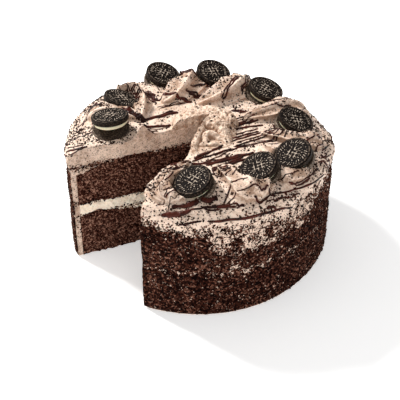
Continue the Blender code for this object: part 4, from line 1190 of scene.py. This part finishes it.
def drizzle_on_top():
    """Bundles waved sideways, and curls eased, both laid down on the cream by rays from above."""
    draw = np.random.default_rng(85)
    t = ALONG_RUN
    paths, half = [], []
    for *ends, count, near, far, width, wave in DRIZZLE:
        start, end = np.array(ends, dtype=float).reshape(2, 2)
        way = (end - start) / np.linalg.norm(end - start)
        side = np.array((-way[1], way[0]))
        for place in (np.arange(count) + 0.5) / count - 0.5:
            many = count > 1
            first = start + side * (place * near + draw.normal(0, 0.3)) + way * draw.normal(0, 1.6) * many
            last = end + side * (place * far + draw.normal(0, 0.4)) + way * draw.normal(0, 2.0) * many
            length = np.linalg.norm(last - first)
            sway = draw.normal(0, 0.015) * length * np.sin(np.pi * t)
            turns = length / draw.uniform(7.0, 12.0)
            sway = sway + wave * np.sin(2 * np.pi * turns * t + draw.uniform(0, 6.3))
            sway = sway + 0.4 * wave * np.sin(5.2 * np.pi * turns * t + draw.uniform(0, 6.3))
            paths.append(first + (last - first) * t[:, None] + side * sway[:, None])
            half.append(width * draw.uniform(0.8, 1.2))
    for *places, width in CURLS:
        paths.append(eased(through(places)[None], 40)[0])
        half.append(width)
    paths, half = np.array(paths) * MM, np.array(half)
    starts = xyz(paths[..., 0], paths[..., 1], RAYS_FROM)
    found, normals = (made.reshape(starts.shape)
                      for made in cast([icing, *shells], starts.reshape(-1, 3), -Z_AXIS))
    landed = (found[..., 2] < RAYS_FROM - MM).sum(axis=1) > FEWEST_LANDED
    found, normals = on_cream(found[landed], normals[landed])
    return eased(found, 5), eased(normals, 8), run_widths(draw, half[landed])


def drizzle_on_rim():
    """Runs round the side of the cap, laid down by rays from outside towards the axis."""
    lines = np.stack([through(places) for *places, _ in RIM_RUNS])
    azimuth = np.radians(lines[..., 0])
    starts = polar(RAYS_FROM, azimuth, eased(lines, 30)[..., 1] * MM)
    found, normals = (made.reshape(starts.shape) for made in cast(
        [icing, *shells], starts.reshape(-1, 3), -polar(1.0, azimuth).reshape(-1, 3)))
    draw = np.random.default_rng(86)
    return eased(found, 3), eased(normals, 4), run_widths(draw, [width for *_, width in RIM_RUNS])


def chocolate_finish():
    """Melted dark chocolate: smooth and glossy, and redder in patches."""
    material, shader, place = new_finish("melted_chocolate", 0.3, Specular_IOR_Level=0.12)
    broad = noise(place, 130.0, 3.0, 0.6)
    feed(shader, "Base Color", blend(broad.between(0.35, 0.7), (28, 8, 4), (78, 33, 23)))
    feed(shader, "Roughness", broad * 0.2 + 0.22)
    return material


drizzle = strands("chocolate_drizzle", *map(np.concatenate, zip(drizzle_on_top(), drizzle_on_rim())))
drizzle.data.materials.append(chocolate_finish())
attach(drizzle, "root")


# The ground cookie in and on the cream: small near black crumbs of unlike sizes over the cap,
# the shells and the dollop, thickest round the rim, over its shoulder and round the cookies.
SPECKS = 18000
SPECKS_ROUND_A_COOKIE = 90


def speck_places(count, seed):
    """Random places on the cream's top and shoulder, more of them the further out they are.

    One in seven is moved to the left side, and each cookie has its own ring of them.
    """
    draw = np.random.default_rng(seed)
    radius = 104.5 * draw.uniform(0.0, 1.0, count) ** 0.34
    azimuth = draw.uniform(0.0, 2 * math.pi, count)
    azimuth = np.where(draw.uniform(0.0, 1.0, count) < 0.14, np.radians(140 + azimuth * 13), azimuth)
    x, y = radius * np.cos(azimuth), radius * np.sin(azimuth)
    keep = draw.uniform(-0.9, 1.0, count) < grain(xyz(x, y), 9.0, seed, layers=2)
    x, y = x[keep], y[keep]
    for middle, _, _, _ in COOKIES:
        turn = draw.uniform(0.0, 2 * math.pi, SPECKS_ROUND_A_COOKIE)
        away = draw.normal(15.2, 1.2, SPECKS_ROUND_A_COOKIE)
        x = np.append(x, middle[0] + away * np.cos(turn))
        y = np.append(y, middle[1] + away * np.sin(turn))
    return cast([icing, *shells, dollop], xyz(x * MM, y * MM, RAYS_FROM), -Z_AXIS)


def speck_finish():
    """Black cocoa crumb, dry, a little lighter in spots."""
    material, shader, place = new_finish("cookie_specks", 0.8, Specular_IOR_Level=0.15)
    feed(shader, "Base Color", blend(noise(place, 700.0, 3.0), (22, 10, 6), (70, 48, 38)))
    return material


places, normals = speck_places(SPECKS, seed=90)
places = places[(places[:, 2] > 60 * MM) & (normals[:, 2] > 0.0)]
sizes = np.random.default_rng(91).gamma(4.0, 0.15, len(places)).clip(0.28, 1.3) * MM
specks = scattered_crumbs("cookie_specks", places, sizes, seed=92)
specks.data.materials.append(speck_finish())
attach(specks, "root")
